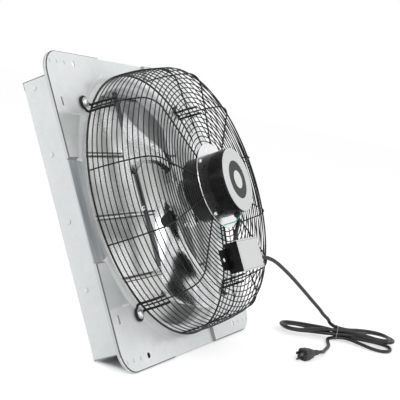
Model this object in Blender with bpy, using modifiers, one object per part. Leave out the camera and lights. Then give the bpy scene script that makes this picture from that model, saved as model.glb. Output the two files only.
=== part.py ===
"""Shutter exhaust fan for a wall opening, standing leaned back on the floor.

Units are metres. The fan is modelled upright in its own frame: the origin is the centre of the mounting
panel's front face, X to the right, Y back through the wall towards the shutter, Z up. An empty leans that
frame back until the panel's bottom lip and the shutter box's bottom back edge both touch the floor, Z = 0.
The cord, its hank and its plug lie on that floor and are placed in world space.
"""

import math

import bmesh
import bpy
from mathutils import Euler, Matrix, Vector

# Shared sizes
GAP = 0.0003                  # running or seating gap between pieces that touch
SHEET = 0.0010                # galvanised sheet
OVERRUN = 0.004               # how far a cutter runs past what it cuts
ROUND_SIDES = 28              # facets of a middling round piece
SMALL_SIDES = 10              # facets of a screw or a rivet head
CURVE_FINENESS = 16           # fine points between two of a route's points
WELD = 0.00001                # points nearer than this are one point
BEHIND = -1                   # a sheet's thickness goes to the back of its faces
BOTH_WAYS = 0                 # a sheet's thickness goes to both sides of its faces

# Mounting panel
PANEL_SIDE = 0.640
HALF_PANEL = PANEL_SIDE / 2
PANEL_CORNER = 0.050
PANEL_BEND = 0.002
LIP_DEPTH = 0.008
RECESS_WIDTH = 0.200
RECESS_DEPTH = 0.006
CREASE_RUN = 0.004
MOUTH_MARGIN = 0.017          # from the panel's edge to the bell mouth's rim
MOUTH_SLOPE = 0.0255          # across the mouth's slope, from its rim to its flat
THROAT_MARGIN = 0.058         # from the panel's edge to the throat
MOUTH_RADIUS = HALF_PANEL - MOUTH_MARGIN
MOUTH_FLAT_RADIUS = MOUTH_RADIUS - MOUTH_SLOPE
THROAT_RADIUS = HALF_PANEL - THROAT_MARGIN
THROAT_BEND = 0.009
THROAT_BEND_SHARE = 0.333     # where the throat's bend has its middle point
THROAT_LENGTH = 0.031
RECESS_STATIONS = 4
CORNER_STRAIGHT_STATIONS = 2
CORNER_ARC_STATIONS = 3
HOLE_MARGIN = 0.023           # from the panel's top or bottom edge to the round holes
HOLE_ACROSS_SHARE = 0.669     # of half the panel, from its middle to the holes
HOLE_OUT = HALF_PANEL - HOLE_MARGIN
HOLE_ACROSS = HALF_PANEL * HOLE_ACROSS_SHARE
HOLE_RADIUS = 0.006
SLOT_MARGIN = 0.026           # from the panel's side edge to the slots
SLOT_ACROSS_SHARE = 0.672
SLOT_OUT = HALF_PANEL - SLOT_MARGIN
SLOT_ACROSS = HALF_PANEL * SLOT_ACROSS_SHARE
SLOT_WIDTH = 0.0095
SLOT_LENGTH = 0.020

# Shutter box
BOX_MARGIN = 0.0405           # from the panel's edge to the box
BOX_SIDE = PANEL_SIDE - 2 * BOX_MARGIN
BOX_DEPTH = 0.084             # from the panel's front face to the back of the box
BOX_OUTER_FLANGE = 0.034      # only behind the panel's recesses, where it is spot welded
BOX_FLANGE_ROOM = 0.002       # from the flange's end to the recess's end
BOX_FLANGE_RELIEF = 0.001
BOX_REAR_FLANGE = 0.016

# Louvers and their linkage
LOUVER_COUNT = 4
LOUVER_TOP_DROP = 0.0179      # from the top of the box to the first hinge
LOUVER_BACK = 0.023           # from the back of the box to the hinges
LOUVER_SHEET = 0.0006
LOUVER_SILL_GAP = 0.0015
LOUVER_LEAN = math.radians(1.5)
LOUVER_LIP = 0.006
LOUVER_LIP_TURN = math.radians(35)
LOUVER_SIDE_GAP = 0.002
HEM_GAP = 0.0004
HEM_START = math.radians(1.5)
HEM_END = math.radians(262)
HEM_STEPS = 9
ROD_RADIUS = 0.0025
ROD_HEAD_RADIUS = 0.0045
ROD_HEAD = 0.0014
ROD_SIDES = 10
EAR_REACH = 0.024
EAR_UP = math.radians(25)
EAR_WIDTH = 0.009
EAR_SHEET = 0.0015
TIE_X = 0.006                 # where the tie bar runs, to the right of the centre
TIE_WIDTH = 0.012
TIE_SHEET = 0.002
TIE_END = 0.0060
LINK_PIN_RADIUS = 0.0018
LINK_PIN_GAP = 0.0005

# Wire guard
GUARD_WIRE = 0.0030
GUARD_BACK_INSET = 0.0165     # from the mouth's rim to the back ring
GUARD_DRAFT = 0.014           # the guard's side leans in by this much
GUARD_SHOULDER = 0.0375       # from the guard's side in to its flat front
GUARD_BACK_RADIUS = MOUTH_RADIUS - GUARD_BACK_INSET
GUARD_BACK_OUT = 0.008        # from the panel's front face to the back ring
GUARD_SIDE_RADIUS = GUARD_BACK_RADIUS - GUARD_DRAFT
GUARD_SIDE_OUT = 0.109
GUARD_FRONT_RADIUS = GUARD_SIDE_RADIUS - GUARD_SHOULDER
GUARD_FRONT_OUT = 0.1415
GUARD_END_INSET = 0.0045      # from the motor plate's rim in to the guard's wire ends
GUARD_SIDE_RINGS = 5
GUARD_SHOULDER_RINGS = 3
GUARD_FRONT_RINGS = 7
GUARD_RIBS = 12
GUARD_BAY_STEPS = 2
GUARD_SHOULDER_BULGE_SHARE = 0.33
FOOT_WIRE_RADIUS = 0.0026
FOOT_OUTSET = 0.0015          # from the mouth's rim out to the foot's screw
FOOT_RADIUS = MOUTH_RADIUS + FOOT_OUTSET
FOOT_LOOP_RADIUS = 0.0125
FOOT_LEG_APART = 0.0105
FOOT_LEG_TOP = 0.064
FOOT_FIRST_ANGLE = math.radians(45)
FOOT_COUNT = 4
FOOT_LOOP_STEPS = 10
WASHER_RADIUS = 0.0104
WASHER_SHEET = 0.0012
FOOT_SCREW_HEAD_RADIUS = 0.0062
FOOT_SCREW_HEAD = 0.0036
FOOT_SCREW_RADIUS = 0.0022
FOOT_SCREW_LENGTH = 0.012

# Motor plate and motor, all turned about the fan's axis
PLATE_REACH = 0.0240          # from the motor's side out to the plate's rim
PLATE_SHEET = 0.0020
PLATE_SLOT_REACH = 0.0115     # from the motor's side out to the slot's middle
PLATE_SLOT_WIDTH = 0.0022
PLATE_SLOT_LENGTH = 0.008
PLATE_SLOT_ANGLE = math.radians(102)
PLATE_SLOT_TURN = math.radians(68)
MOTOR_FLANGE_REACH = 0.0165   # from the motor's side out to its flange's rim
MOTOR_FLANGE = 0.003
MOTOR_RADIUS = 0.0685
MOTOR_WALL = 0.0035
MOTOR_EDGE = 0.002
MOTOR_FRONT_OUT = 0.1895
MOTOR_BACK_OUT = 0.0970       # the motor's back, inside the guard
MOTOR_BEARING_SEAT = 0.012
BOLT_REACH = 0.0105           # from the motor's side out to its bolts
BOLT_FIRST_ANGLE = math.radians(48)
BOLT_COUNT = 4
BOLT_HEAD_RADIUS = 0.0042
BOLT_HEAD = 0.0026
BOLT_TOP_SHARE = 0.7          # of the head's radius, flat on top
BOLT_RADIUS = 0.0020
FACE_RING_HOLE_RADIUS = 0.0410
FACE_RING_SHEET = 0.0014
FACE_LEDGE_RADIUS = 0.0360
FACE_LEDGE = 0.0025
FACE_SPIGOT = 0.006
END_DISC_DEPTH = 0.0045
END_DISC_RECESS = 0.0012
CAP_RADIUS = 0.0195
CAP_HEIGHT = 0.0040
CAP_EDGE = 0.0011
CAP_PROFILE_SHARES = ((0.55, 0.9), (0.85, 0.55))   # (of its radius, of its height) up its dome
SHAFT_RADIUS = 0.006
SHAFT_END = 0.0020            # how far the shaft stands out of the hub's nut
BEARING_RADIUS = 0.013
BEARING_WIDTH = 0.009
BEARING_COLLAR = 0.004
STATOR_BORE_RADIUS = 0.0358
STATOR_LENGTH = 0.0480
ROTOR_CORE_RADIUS = 0.0350
ROTOR_CORE_LENGTH = 0.0440
MOTOR_ROOM = 0.0160           # room for the windings' ends between the motor's back and its stator
GROMMET_RADIUS = 0.0075
GROMMET_LENGTH = 0.006
GROMMET_BACK = 0.0205         # from the drum's front edge back to the grommet
GROMMET_END_SHARE = 0.8

# Fan. Angles of the blades' edges are measured from their arms
FAN_COUNT = 3
FAN_PHASE = math.radians(91)
FAN_OUT = 0.040               # middle of the blades, in front of the panel's front face
BLADE_SHEET = 0.0015
BLADE_ROOT_RADIUS = 0.060
BLADE_TIP_ROOM = 0.020        # from the blade's tip to the throat
BLADE_TIP_RADIUS = THROAT_RADIUS - BLADE_TIP_ROOM
BLADE_LEAD_ROOT = math.radians(-40)
BLADE_LEAD_TIP = math.radians(21)
BLADE_LEAD_BOW = math.radians(22)
BLADE_TRAIL_ROOT = math.radians(26)
BLADE_TRAIL_TIP = math.radians(98)
BLADE_TRAIL_ROUND = math.radians(35)   # how far the round corner cuts the trailing edge back
BLADE_ROUND_POWER = 6
BLADE_ROOT_PITCH = math.radians(13)
BLADE_TIP_PITCH = math.radians(11)
BLADE_CAMBER = 0.013
BLADE_SPAN_STEPS = 10
BLADE_CHORD_STEPS = 10
ARM_HALF = 0.013
ARM_SHEET = 0.0030
ARM_REACH_SHARE = 0.25
ARM_START_SHARE = 0.8         # of the hub's radius, where the arms begin inside it
ARM_STEPS = 5
ARM_SEAT = 0.0009             # from the curved blade to the arm's flat facets
HUB_RADIUS = 0.036
HUB_BACK = 0.012
HUB_FRONT = 0.028
HUB_NUT_RADIUS = 0.0105
HEXAGON = 6
HUB_NUT = 0.008

# Junction box, its leads and its capacitor
BRACKET_SHEET = 0.0015
BRACKET_HALF = 0.0215
BRACKET_EAR = 0.030
JUNCTION_WIDTH = 0.114
JUNCTION_HEIGHT = 0.063
JUNCTION_LOW = 0.1555         # its middle, below the fan's axis
JUNCTION_DEPTH = 0.029
JUNCTION_WALL = 0.0012
COVER_LIP = 0.007
JUNCTION_SCREW_INSET = 0.012
JUNCTION_SCREW_RADIUS = 0.0045
JUNCTION_SCREW_HEAD = 0.0030
JUNCTION_SCREW_TOP_SHARE = 0.6
CAPACITOR_WIDTH = 0.046
CAPACITOR_HEIGHT = 0.030
CAPACITOR_DEPTH = 0.018
CAPACITOR_EDGE = 0.002
LEAD_RADIUS = 0.0043
LEAD_GAP = 0.0005
LEAD_LEFT = 0.030             # where the lead enters the junction box, left of its middle
LEAD_DIP = 0.006
EARTH_RADIUS = 0.0012
EARTH_STEP = 0.006            # from one of the green wire's points to the next
EARTH_START_ANGLE = math.radians(249)
EARTH_INSET = 0.0014
EARTH_SAG = 0.006
EARTH_BEND_SHARE = 0.4        # how far towards the sag's middle its two outer points lie
GLAND_HOLE_RADIUS = 0.0065
GLAND_BARREL = 0.006
GLAND_FLANGE_RADIUS = 0.0105
GLAND_FLANGE = 0.003
GLAND_ROOT_RADIUS = 0.0085
GLAND_TIP_RADIUS = 0.0056
GLAND_TAPER = 0.027
GLAND_DOWN = 0.0170           # gland's centre above the junction box's bottom

# Cord, hank, tie and plug (metres, in world space: they lie on the floor)
CORD_RADIUS = 0.00425
CORD_GAP = 0.0003              # between the ends of two lengths of cord
CORD_FLOOR_GAP = 0.0003
CORD_STEP = 0.0135             # between the points of a free length
FREE_ROUTE = ((0.075, 0.2116), (0.176, 0.1996), (0.339, 0.1694), (0.500, 0.1355),
              (0.655, 0.1016), (0.742, 0.0828))   # (share of the way to the hank, height)
HANK_MIDDLE = (0.440, -0.308)
HANK_HEADING = math.radians(-62)
HANK_CLIMB = 0.0047            # each pass through the waist climbs half a layer
HANK_APART = 0.0049            # passes run this far each side of the waist's middle
HANK_FLARE = 0.0020
HANK_RUN = 0.027               # half the length of the waist
HANK_FALL_OVER = 0.100         # lobes come down to rest over this length
HANK_LOBES = ((0.110, 0.078, -14), (0.104, 0.062, -18), (0.134, 0.082, 24), (0.112, 0.064, 4),
              (0.108, 0.072, 8))   # (length, width, degrees turned from the waist's line)
LOBE_SHARES = (0.1, 0.2, 0.3, 0.4, 0.5, 0.6, 0.7, 0.8, 0.9)
HANK_STEP = 0.0125
HANK_TOP_ROUTE = ((0.4345, -0.2955, 0.0355), (0.4200, -0.2925, 0.0425), (0.3985, -0.2932, 0.0535),
                  (0.3820, -0.2885, 0.0628))
HANK_TAIL_ROUTE = ((0.3600, -0.3155), (0.3850, -0.3060), (0.4080, -0.2990), (0.4255, -0.3010))
TAIL_ROUTE = ((0.3250, -0.3245, 0.00455), (0.3020, -0.3270, 0.00455), (0.2760, -0.3310, 0.0060),
              (0.2560, -0.3355, 0.0095))
OWN_LENGTH = 0.030             # a cord's points nearer than this along it are its own neighbours
TIE_RADIUS = 0.0006
TIE_GAP = 0.0005
TIE_CORNER = 0.004
TIE_CORNER_POINTS = 4
PLUG_PLACE = (0.180, -0.320)
PLUG_HEADING = math.radians(163)
PLUG_AXIS_UP = 0.0135
PLUG_STATIONS = ((-0.042, 0.0054, 0.0054, 2.0), (-0.040, 0.0060, 0.0060, 2.0),
                 (-0.020, 0.0078, 0.0078, 2.0), (-0.014, 0.0110, 0.0105, 3.0),
                 (0.000, 0.0132, 0.0130, 4.0), (0.017, 0.0135, 0.0130, 5.0),
                 (0.018, 0.0125, 0.0120, 5.0))   # (along, half width, half height, squareness)
PLUG_SIDES = 20
PRONG_APART = 0.00635
PRONG_UP = 0.0035
PRONG_THICK = 0.0015
PRONG_WIDTH = 0.0063
PRONG_OUT = 0.0160
PRONG_DEEP = 0.0080
PIN_DOWN = 0.0080
PIN_RADIUS = 0.0024
PIN_OUT = 0.0190

# Where the parts meet, worked out from the sizes above
HALF_BOX = BOX_SIDE / 2
BOX_FRONT = RECESS_DEPTH + SHEET + GAP
LOUVER_PIVOT_Y = BOX_DEPTH - LOUVER_BACK
LOUVER_PITCH = (BOX_SIDE - LOUVER_TOP_DROP) / LOUVER_COUNT
LOUVER_DROP = LOUVER_PITCH - SHEET - LOUVER_SILL_GAP
HEM_RADIUS = ROD_RADIUS + HEM_GAP + LOUVER_SHEET / 2
LOUVER_HALF = HALF_BOX - SHEET - BOX_REAR_FLANGE - LOUVER_SIDE_GAP
PLATE_BACK = GUARD_FRONT_OUT + GUARD_WIRE / 2 + GAP
PLATE_FRONT = PLATE_BACK + PLATE_SHEET
PLATE_HOLE_RADIUS = MOTOR_RADIUS + GAP
PLATE_RADIUS = MOTOR_RADIUS + PLATE_REACH
PLATE_SLOT_RADIUS = MOTOR_RADIUS + PLATE_SLOT_REACH
MOTOR_FLANGE_RADIUS = MOTOR_RADIUS + MOTOR_FLANGE_REACH
BOLT_CIRCLE_RADIUS = MOTOR_RADIUS + BOLT_REACH
GUARD_HUB_RADIUS = PLATE_RADIUS - GUARD_END_INSET
FLANGE_FRONT = PLATE_BACK - GAP
FLANGE_BACK = FLANGE_FRONT - MOTOR_FLANGE
SEAT_RADIUS = BEARING_RADIUS + GAP
BORE_RADIUS = SHAFT_RADIUS + GAP
FACE_BACK = MOTOR_FRONT_OUT + GAP
FACE_FRONT = FACE_BACK + FACE_RING_SHEET
DISC_FRONT = FACE_FRONT - END_DISC_RECESS
DISC_BACK = DISC_FRONT - END_DISC_DEPTH
LEDGE_FRONT = DISC_BACK - GAP
LEDGE_BACK = LEDGE_FRONT - FACE_LEDGE
STATOR_BACK = MOTOR_BACK_OUT + MOTOR_WALL + MOTOR_ROOM
BRACKET_BACK = GUARD_FRONT_OUT + GUARD_WIRE / 2 + GAP
BRACKET_FRONT = BRACKET_BACK + BRACKET_SHEET
JUNCTION_BACK = BRACKET_FRONT + GAP
JUNCTION_FRONT = JUNCTION_BACK + JUNCTION_DEPTH
COVER_FRONT = JUNCTION_FRONT + GAP + JUNCTION_WALL
LEAN = math.atan2(BOX_MARGIN, BOX_DEPTH - LIP_DEPTH)

COLLECTION_NAME = "shutter_exhaust_fan"
CUTTER_COLLECTION_NAME = "cutters"


# Scene set-up and materials


def clear_scene():
    for item in list(bpy.data.objects):
        bpy.data.objects.remove(item, do_unlink=True)


def named_collection(name):
    collection = bpy.data.collections.new(name)
    bpy.context.scene.collection.children.link(collection)
    return collection


clear_scene()
PARTS = named_collection(COLLECTION_NAME)
CUTTERS = named_collection(CUTTER_COLLECTION_NAME)


def principled(name, colour, roughness, metallic):
    material = bpy.data.materials.new(name)
    material.use_nodes = True
    shader = material.node_tree.nodes["Principled BSDF"]
    shader.inputs["Base Color"].default_value = (*colour, 1.0)
    shader.inputs["Roughness"].default_value = roughness
    shader.inputs["Metallic"].default_value = metallic
    return material


GALVANISED = principled("galvanised_sheet", (0.74, 0.77, 0.78), 0.42, 0.85)
BLADE_METAL = principled("blade_aluminium", (0.80, 0.81, 0.82), 0.26, 1.0)
LOUVER_METAL = principled("louver_aluminium", (0.84, 0.85, 0.86), 0.40, 0.8)
GUARD_BLACK = principled("guard_black", (0.02, 0.02, 0.022), 0.40, 0.2)
MOTOR_BLACK = principled("motor_black", (0.015, 0.015, 0.017), 0.30, 0.2)
FACE_GREY = principled("face_light_grey", (0.72, 0.73, 0.74), 0.55, 0.3)
COVER_GREY = principled("cover_grey", (0.62, 0.63, 0.63), 0.50, 0.4)
SCREW_METAL = principled("screw_zinc", (0.78, 0.79, 0.80), 0.28, 1.0)
STEEL = principled("plain_steel", (0.55, 0.56, 0.58), 0.35, 1.0)
COPPER = principled("winding_copper", (0.60, 0.28, 0.12), 0.45, 0.9)
CORD_BLACK = principled("cord_black", (0.018, 0.018, 0.018), 0.50, 0.0)
EARTH_GREEN = principled("earth_green", (0.03, 0.38, 0.22), 0.45, 0.0)
BRASS = principled("plug_brass", (0.75, 0.62, 0.33), 0.30, 1.0)
CAPACITOR_GREY = principled("capacitor_shell", (0.16, 0.16, 0.17), 0.50, 0.0)


# Objects, meshes and curves


def add_object(name, data, material, parent=None, collection=None):
    item = bpy.data.objects.new(name, data)
    (collection or PARTS).objects.link(item)
    if material is not None:
        data.materials.append(material)
    item.parent = parent
    return item


def add_empty(name, parent, location=(0, 0, 0), turn=(0, 0, 0)):
    item = bpy.data.objects.new(name, None)
    PARTS.objects.link(item)
    item.parent = parent
    item.location = location
    item.rotation_euler = turn
    return item


def mesh_of(name, form):
    """The bmesh becomes a mesh with outward faces and is freed."""
    bmesh.ops.recalc_face_normals(form, faces=form.faces)
    mesh = bpy.data.meshes.new(name)
    form.to_mesh(mesh)
    form.free()
    return mesh


def smooth(item, angle=math.radians(35)):
    item.data.shade_smooth()
    item.data.set_sharp_from_angle(angle=angle)


def box_mesh(name, size, middle):
    form = bmesh.new()
    bmesh.ops.create_cube(form, size=1)
    bmesh.ops.scale(form, vec=Vector(size), verts=form.verts)
    bmesh.ops.translate(form, vec=Vector(middle), verts=form.verts)
    return mesh_of(name, form)


def span_box(name, low, high):
    """A box between two opposite corners."""
    low, high = Vector(low), Vector(high)
    return box_mesh(name, high - low, (high + low) / 2)


def cylinder_mesh(name, radius, start, end, sides=ROUND_SIDES):
    """A cylinder between two points."""
    start, end = Vector(start), Vector(end)
    along = end - start
    turn = Vector((0, 0, 1)).rotation_difference(along).to_matrix().to_4x4()
    form = bmesh.new()
    bmesh.ops.create_cone(form, cap_ends=True, segments=sides, radius1=radius, radius2=radius,
                          depth=along.length)
    bmesh.ops.transform(form, matrix=Matrix.Translation((start + end) / 2) @ turn, verts=form.verts)
    return mesh_of(name, form)


def turned(name, profile, material, parent, closed=True, sides=ROUND_SIDES):
    """A profile of (radius, height) pairs, turned about its parent's Z axis by a Screw modifier.

    The profile runs down the outer side. A closed one loops back up its bore.
    """
    mesh = bpy.data.meshes.new(name)
    edges = [(i, i + 1) for i in range(len(profile) - 1)]
    if closed:
        edges.append((len(profile) - 1, 0))
    mesh.from_pydata([(radius, 0, height) for radius, height in profile], edges, [])
    item = add_object(name, mesh, material, parent)
    screw = item.modifiers.new("turn", "SCREW")
    screw.axis = "Z"
    screw.angle = math.tau
    screw.steps = sides
    screw.render_steps = sides
    screw.use_merge_vertices = True
    screw.merge_threshold = WELD
    screw.use_smooth_shade = True
    return item


def solidify(item, thickness, offset):
    wall = item.modifiers.new("wall", "SOLIDIFY")
    wall.thickness = thickness
    wall.offset = offset
    wall.use_even_offset = True


def cut(item, cutter_mesh, parent, name="cut"):
    """Takes a closed mesh, placed in the parent's frame, out of an object."""
    cutter = add_object(item.name + "_" + name, cutter_mesh, None, parent, CUTTERS)
    cutter.hide_render = True
    cutter.display_type = "WIRE"
    step = item.modifiers.new(name, "BOOLEAN")
    step.operation = "DIFFERENCE"
    step.solver = "EXACT"
    step.object = cutter


def join(item, other_mesh, parent, name="join"):
    """Unites a closed mesh, placed in the parent's frame, with an object."""
    other = add_object(item.name + "_" + name, other_mesh, None, parent, CUTTERS)
    other.hide_render = True
    other.display_type = "WIRE"
    step = item.modifiers.new(name, "BOOLEAN")
    step.operation = "UNION"
    step.solver = "EXACT"
    step.object = other


def wire_curve(name, points, radius, material, parent, closed=False, resolution=2):
    """A round wire or cord along points."""
    curve = bpy.data.curves.new(name, "CURVE")
    curve.dimensions = "3D"
    curve.bevel_depth = radius
    curve.bevel_resolution = resolution
    curve.use_fill_caps = not closed
    spline = curve.splines.new("POLY")
    spline.points.add(len(points) - 1)
    for point, place in zip(spline.points, points):
        point.co = (*place, 1)
    spline.use_cyclic_u = closed
    return add_object(name, curve, material, parent)


def curve_to_mesh(item):
    """Turns a curve object into a closed mesh, in its parent's frame, and removes the object."""
    bpy.context.view_layer.update()
    mesh = bpy.data.meshes.new_from_object(item.evaluated_get(bpy.context.evaluated_depsgraph_get()))
    form = bmesh.new()
    form.from_mesh(mesh)
    bmesh.ops.remove_doubles(form, verts=form.verts, dist=WELD)
    form.to_mesh(mesh)
    form.free()
    curve = item.data
    bpy.data.objects.remove(item, do_unlink=True)
    bpy.data.curves.remove(curve)
    return mesh


def smooth_path(route, spacing):
    """Points about evenly spaced along a Catmull-Rom curve through the route's points.

    The first and last runs of the route stay straight, square to what the tube meets there.
    """
    route = [Vector(place) for place in route]
    fine = []
    for before, start, end, after in zip(route, route[1:], route[2:], route[3:]):
        for step in range(CURVE_FINENESS):
            t = step / CURVE_FINENESS
            fine.append(0.5 * (2 * start + (end - before) * t
                               + (2 * before - 5 * start + 4 * end - after) * t ** 2
                               + (3 * start - before - 3 * end + after) * t ** 3))
    fine.append(route[-2])
    length = sum((b - a).length for a, b in zip(fine, fine[1:]))
    count = max(2, round(length / spacing))
    places, walked, target = [fine[0]], 0.0, length / count
    for a, b in zip(fine, fine[1:]):
        piece = (b - a).length
        while piece > 0 and walked + piece >= target and len(places) < count:
            places.append(a.lerp(b, (target - walked) / piece))
            target += length / count
        walked += piece
    return [route[0], *places, fine[-1], route[-1]]



# The stand: an empty that leans the fan back on the floor


def back_reach():
    return BOX_DEPTH * math.cos(LEAN) + HALF_BOX * math.sin(LEAN)


def front_reach():
    low = -JUNCTION_LOW - JUNCTION_HEIGHT / 2
    return -COVER_FRONT * math.cos(LEAN) + low * math.sin(LEAN)


STAND_BACK = -(back_reach() + front_reach()) / 2
STAND_UP = LIP_DEPTH * math.sin(LEAN) + HALF_PANEL * math.cos(LEAN)
STAND = add_empty("fan_stand", None, (0, STAND_BACK, STAND_UP), (-LEAN, 0, 0))
AXIS = add_empty("fan_axis", STAND, turn=(math.radians(90), 0, 0))


def on_floor(place):
    """A place in the fan's own frame, given in world space."""
    turn = Matrix.Translation((0, STAND_BACK, STAND_UP)) @ Euler((-LEAN, 0, 0)).to_matrix().to_4x4()
    return turn @ Vector(place)


# Mounting panel: one drawn sheet with four recessed sides, a bell mouth and a folded lip


def panel_stations():
    """Where the panel's spokes leave the mouth and reach the edge, for the side that faces +X.

    Each station is (mouth angle, edge place along +Z, corner turn, sunk). On a corner arc the edge
    place is the arc's start and the corner turn says how far round it the station lies.
    """
    half = RECESS_WIDTH / 2
    crease = half + CREASE_RUN
    recess_angle = math.asin(half / MOUTH_RADIUS)
    crease_angle = math.asin(crease / MOUTH_RADIUS)
    arc_start = HALF_PANEL - PANEL_CORNER
    spokes = CORNER_STRAIGHT_STATIONS + CORNER_ARC_STATIONS
    step = (math.radians(45) - crease_angle) / spokes
    upper = [(crease_angle, crease, 0.0, False)]
    for k in range(1, CORNER_STRAIGHT_STATIONS + 1):
        along = crease + (arc_start - crease) * k / CORNER_STRAIGHT_STATIONS
        upper.append((crease_angle + k * step, along, 0.0, False))
    for k in range(1, CORNER_ARC_STATIONS + 1):
        angle = crease_angle + (CORNER_STRAIGHT_STATIONS + k) * step
        upper.append((angle, arc_start, math.radians(45) * k / CORNER_ARC_STATIONS, False))
    middle = []
    for k in range(RECESS_STATIONS + 1):
        along = half * (2 * k / RECESS_STATIONS - 1)
        middle.append((math.asin(along / MOUTH_RADIUS), along, 0.0, True))
    lower = [(-a, -along, -turn, sunk) for a, along, turn, sunk in reversed(upper)]
    return lower[1:] + middle + upper


def edge_point(along, turn, inset):
    """A point of the panel's outline, moved in by inset."""
    radius = PANEL_CORNER - inset
    if turn == 0.0:
        return HALF_PANEL - inset, along
    side = math.copysign(1, turn)
    centre = HALF_PANEL - PANEL_CORNER
    return centre + radius * math.cos(abs(turn)), side * (centre + radius * math.sin(abs(turn)))


def panel_rings(angle, along, turn, sunk):
    """One spoke's points (across, along, back), from the throat's end out to the lip's edge."""
    base = RECESS_DEPTH if sunk else 0.0
    bend_back = RECESS_DEPTH + THROAT_BEND
    rings = [(THROAT_RADIUS, THROAT_LENGTH), (THROAT_RADIUS, bend_back),
             (THROAT_RADIUS + THROAT_BEND * THROAT_BEND_SHARE, RECESS_DEPTH + THROAT_BEND * THROAT_BEND_SHARE),
             (MOUTH_FLAT_RADIUS, RECESS_DEPTH), (MOUTH_RADIUS, base)]
    points = [(radius * math.cos(angle), radius * math.sin(angle), back) for radius, back in rings]
    points.append((*edge_point(along, turn, PANEL_BEND), base))
    bend_depth = min(base + PANEL_BEND, (base + LIP_DEPTH) / 2)
    points.append((*edge_point(along, turn, 0.0), bend_depth))
    points.append((*edge_point(along, turn, 0.0), LIP_DEPTH))
    return points


def make_panel():
    form = bmesh.new()
    spokes = []
    for side in range(4):
        turn = Matrix.Rotation(math.radians(90) * side, 3, "Y")
        for station in panel_stations():
            ring = [turn @ Vector((across, back, along)) for across, along, back in panel_rings(*station)]
            spokes.append([form.verts.new(place) for place in reversed(ring)])
    # On each side the stations run towards +Z, while the sides follow one another the other way
    stations = len(panel_stations())
    order = []
    for side in range(4):
        order += reversed(spokes[side * stations:(side + 1) * stations])
    for spoke, after in zip(order, order[1:] + order[:1]):
        for k in range(len(spoke) - 1):
            form.faces.new((spoke[k], spoke[k + 1], after[k + 1], after[k]))
    bmesh.ops.remove_doubles(form, verts=form.verts, dist=WELD)
    mesh = bpy.data.meshes.new("mounting_panel")
    form.to_mesh(mesh)
    form.free()
    panel = add_object("mounting_panel", mesh, GALVANISED, STAND)
    solidify(panel, SHEET, BEHIND)
    for k, cutter in enumerate(panel_cutters()):
        cut(panel, cutter, STAND, "hole_%d" % k)


def panel_cutters():
    """Mounting holes, slots and the screw holes of the guard's feet."""
    near, far = -OVERRUN, SHEET + OVERRUN
    for right in (-1, 1):
        for up in (-1, 1):
            x, z = right * HOLE_ACROSS, up * HOLE_OUT
            yield cylinder_mesh("hole", HOLE_RADIUS, (x, near, z), (x, far, z), SMALL_SIDES)
            yield slot_mesh(right * SLOT_OUT, up * SLOT_ACROSS, near, far)
    for x, z in foot_places():
        yield cylinder_mesh("hole", FOOT_SCREW_RADIUS + GAP, (x, near, z), (x, far, z), SMALL_SIDES)


def slot_mesh(x, z, near, far):
    """An upright slot with round ends."""
    radius = SLOT_WIDTH / 2
    reach = SLOT_LENGTH / 2 - radius
    form = bmesh.new()
    bmesh.ops.create_cone(form, cap_ends=True, segments=SMALL_SIDES, radius1=radius, radius2=radius,
                          depth=far - near)
    half_step = Matrix.Rotation(math.pi / SMALL_SIDES, 3, "Z")
    bmesh.ops.rotate(form, matrix=Matrix.Rotation(math.radians(90), 3, "X") @ half_step, verts=form.verts)
    for vert in form.verts:
        vert.co.z += math.copysign(reach, vert.co.z)
    bmesh.ops.translate(form, vec=Vector((x, (near + far) / 2, z)), verts=form.verts)
    return mesh_of("slot", form)


# Shutter box: four bent channels


def channel(name, section, half_length, turn_quarters):
    """A bent sheet: the section's (out, back) points run along a side of the box."""
    turn = Matrix.Rotation(math.radians(90) * turn_quarters, 3, "Y")
    form = bmesh.new()
    rows = []
    for along in (-half_length, half_length):
        rows.append([form.verts.new(turn @ Vector((along, back, out))) for out, back in section])
    for k in range(len(section) - 1):
        form.faces.new((rows[0][k], rows[0][k + 1], rows[1][k + 1], rows[1][k]))
    mesh = bpy.data.meshes.new(name)
    form.to_mesh(mesh)
    form.free()
    item = add_object(name, mesh, GALVANISED, STAND)
    solidify(item, SHEET, BOTH_WAYS)
    flange_end = RECESS_WIDTH / 2 - BOX_FLANGE_ROOM
    for right in (-1, 1):
        spare = span_box("spare", (min(right * flange_end, right * HALF_PANEL), BOX_FRONT - SHEET,
                                   HALF_BOX + BOX_FLANGE_RELIEF),
                         (max(right * flange_end, right * HALF_PANEL), BOX_FRONT + 2 * SHEET, HALF_PANEL))
        spare.transform(turn.to_4x4())
        cut(item, spare, STAND, "flange_end_%d" % (right + 1))
    return item


def make_box():
    """The top and the sill run over the ends of the two sides. The front flanges are short tabs."""
    half = SHEET / 2
    front, web = BOX_FRONT + half, HALF_BOX - half
    tip = HALF_BOX + BOX_OUTER_FLANGE
    side_back = BOX_DEPTH - SHEET - GAP - half
    side = [(tip, front), (web, front), (web, side_back), (web - BOX_REAR_FLANGE, side_back)]
    top = [(tip, front), (web, front), (web, BOX_DEPTH - half), (web - BOX_REAR_FLANGE, BOX_DEPTH - half)]
    sill = [(tip, front), (web, front), (web, BOX_DEPTH)]
    side_half = HALF_BOX - SHEET - GAP
    frames = {"frame_top": channel("frame_top", top, HALF_BOX, 0),
              "frame_right": channel("frame_right", side, side_half, 1),
              "frame_bottom": channel("frame_bottom", sill, HALF_BOX, 2),
              "frame_left": channel("frame_left", side, side_half, 3)}
    for k in range(LOUVER_COUNT):
        z = louver_height(k)
        for name, right in (("frame_left", -1), ("frame_right", 1)):
            near, far = right * (HALF_BOX - SHEET - OVERRUN), right * (HALF_BOX + OVERRUN)
            hole = cylinder_mesh("hole", ROD_RADIUS + GAP, (near, LOUVER_PIVOT_Y, z),
                                 (far, LOUVER_PIVOT_Y, z), ROD_SIDES)
            cut(frames[name], hole, STAND, "rod_hole_%d" % k)


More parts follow.
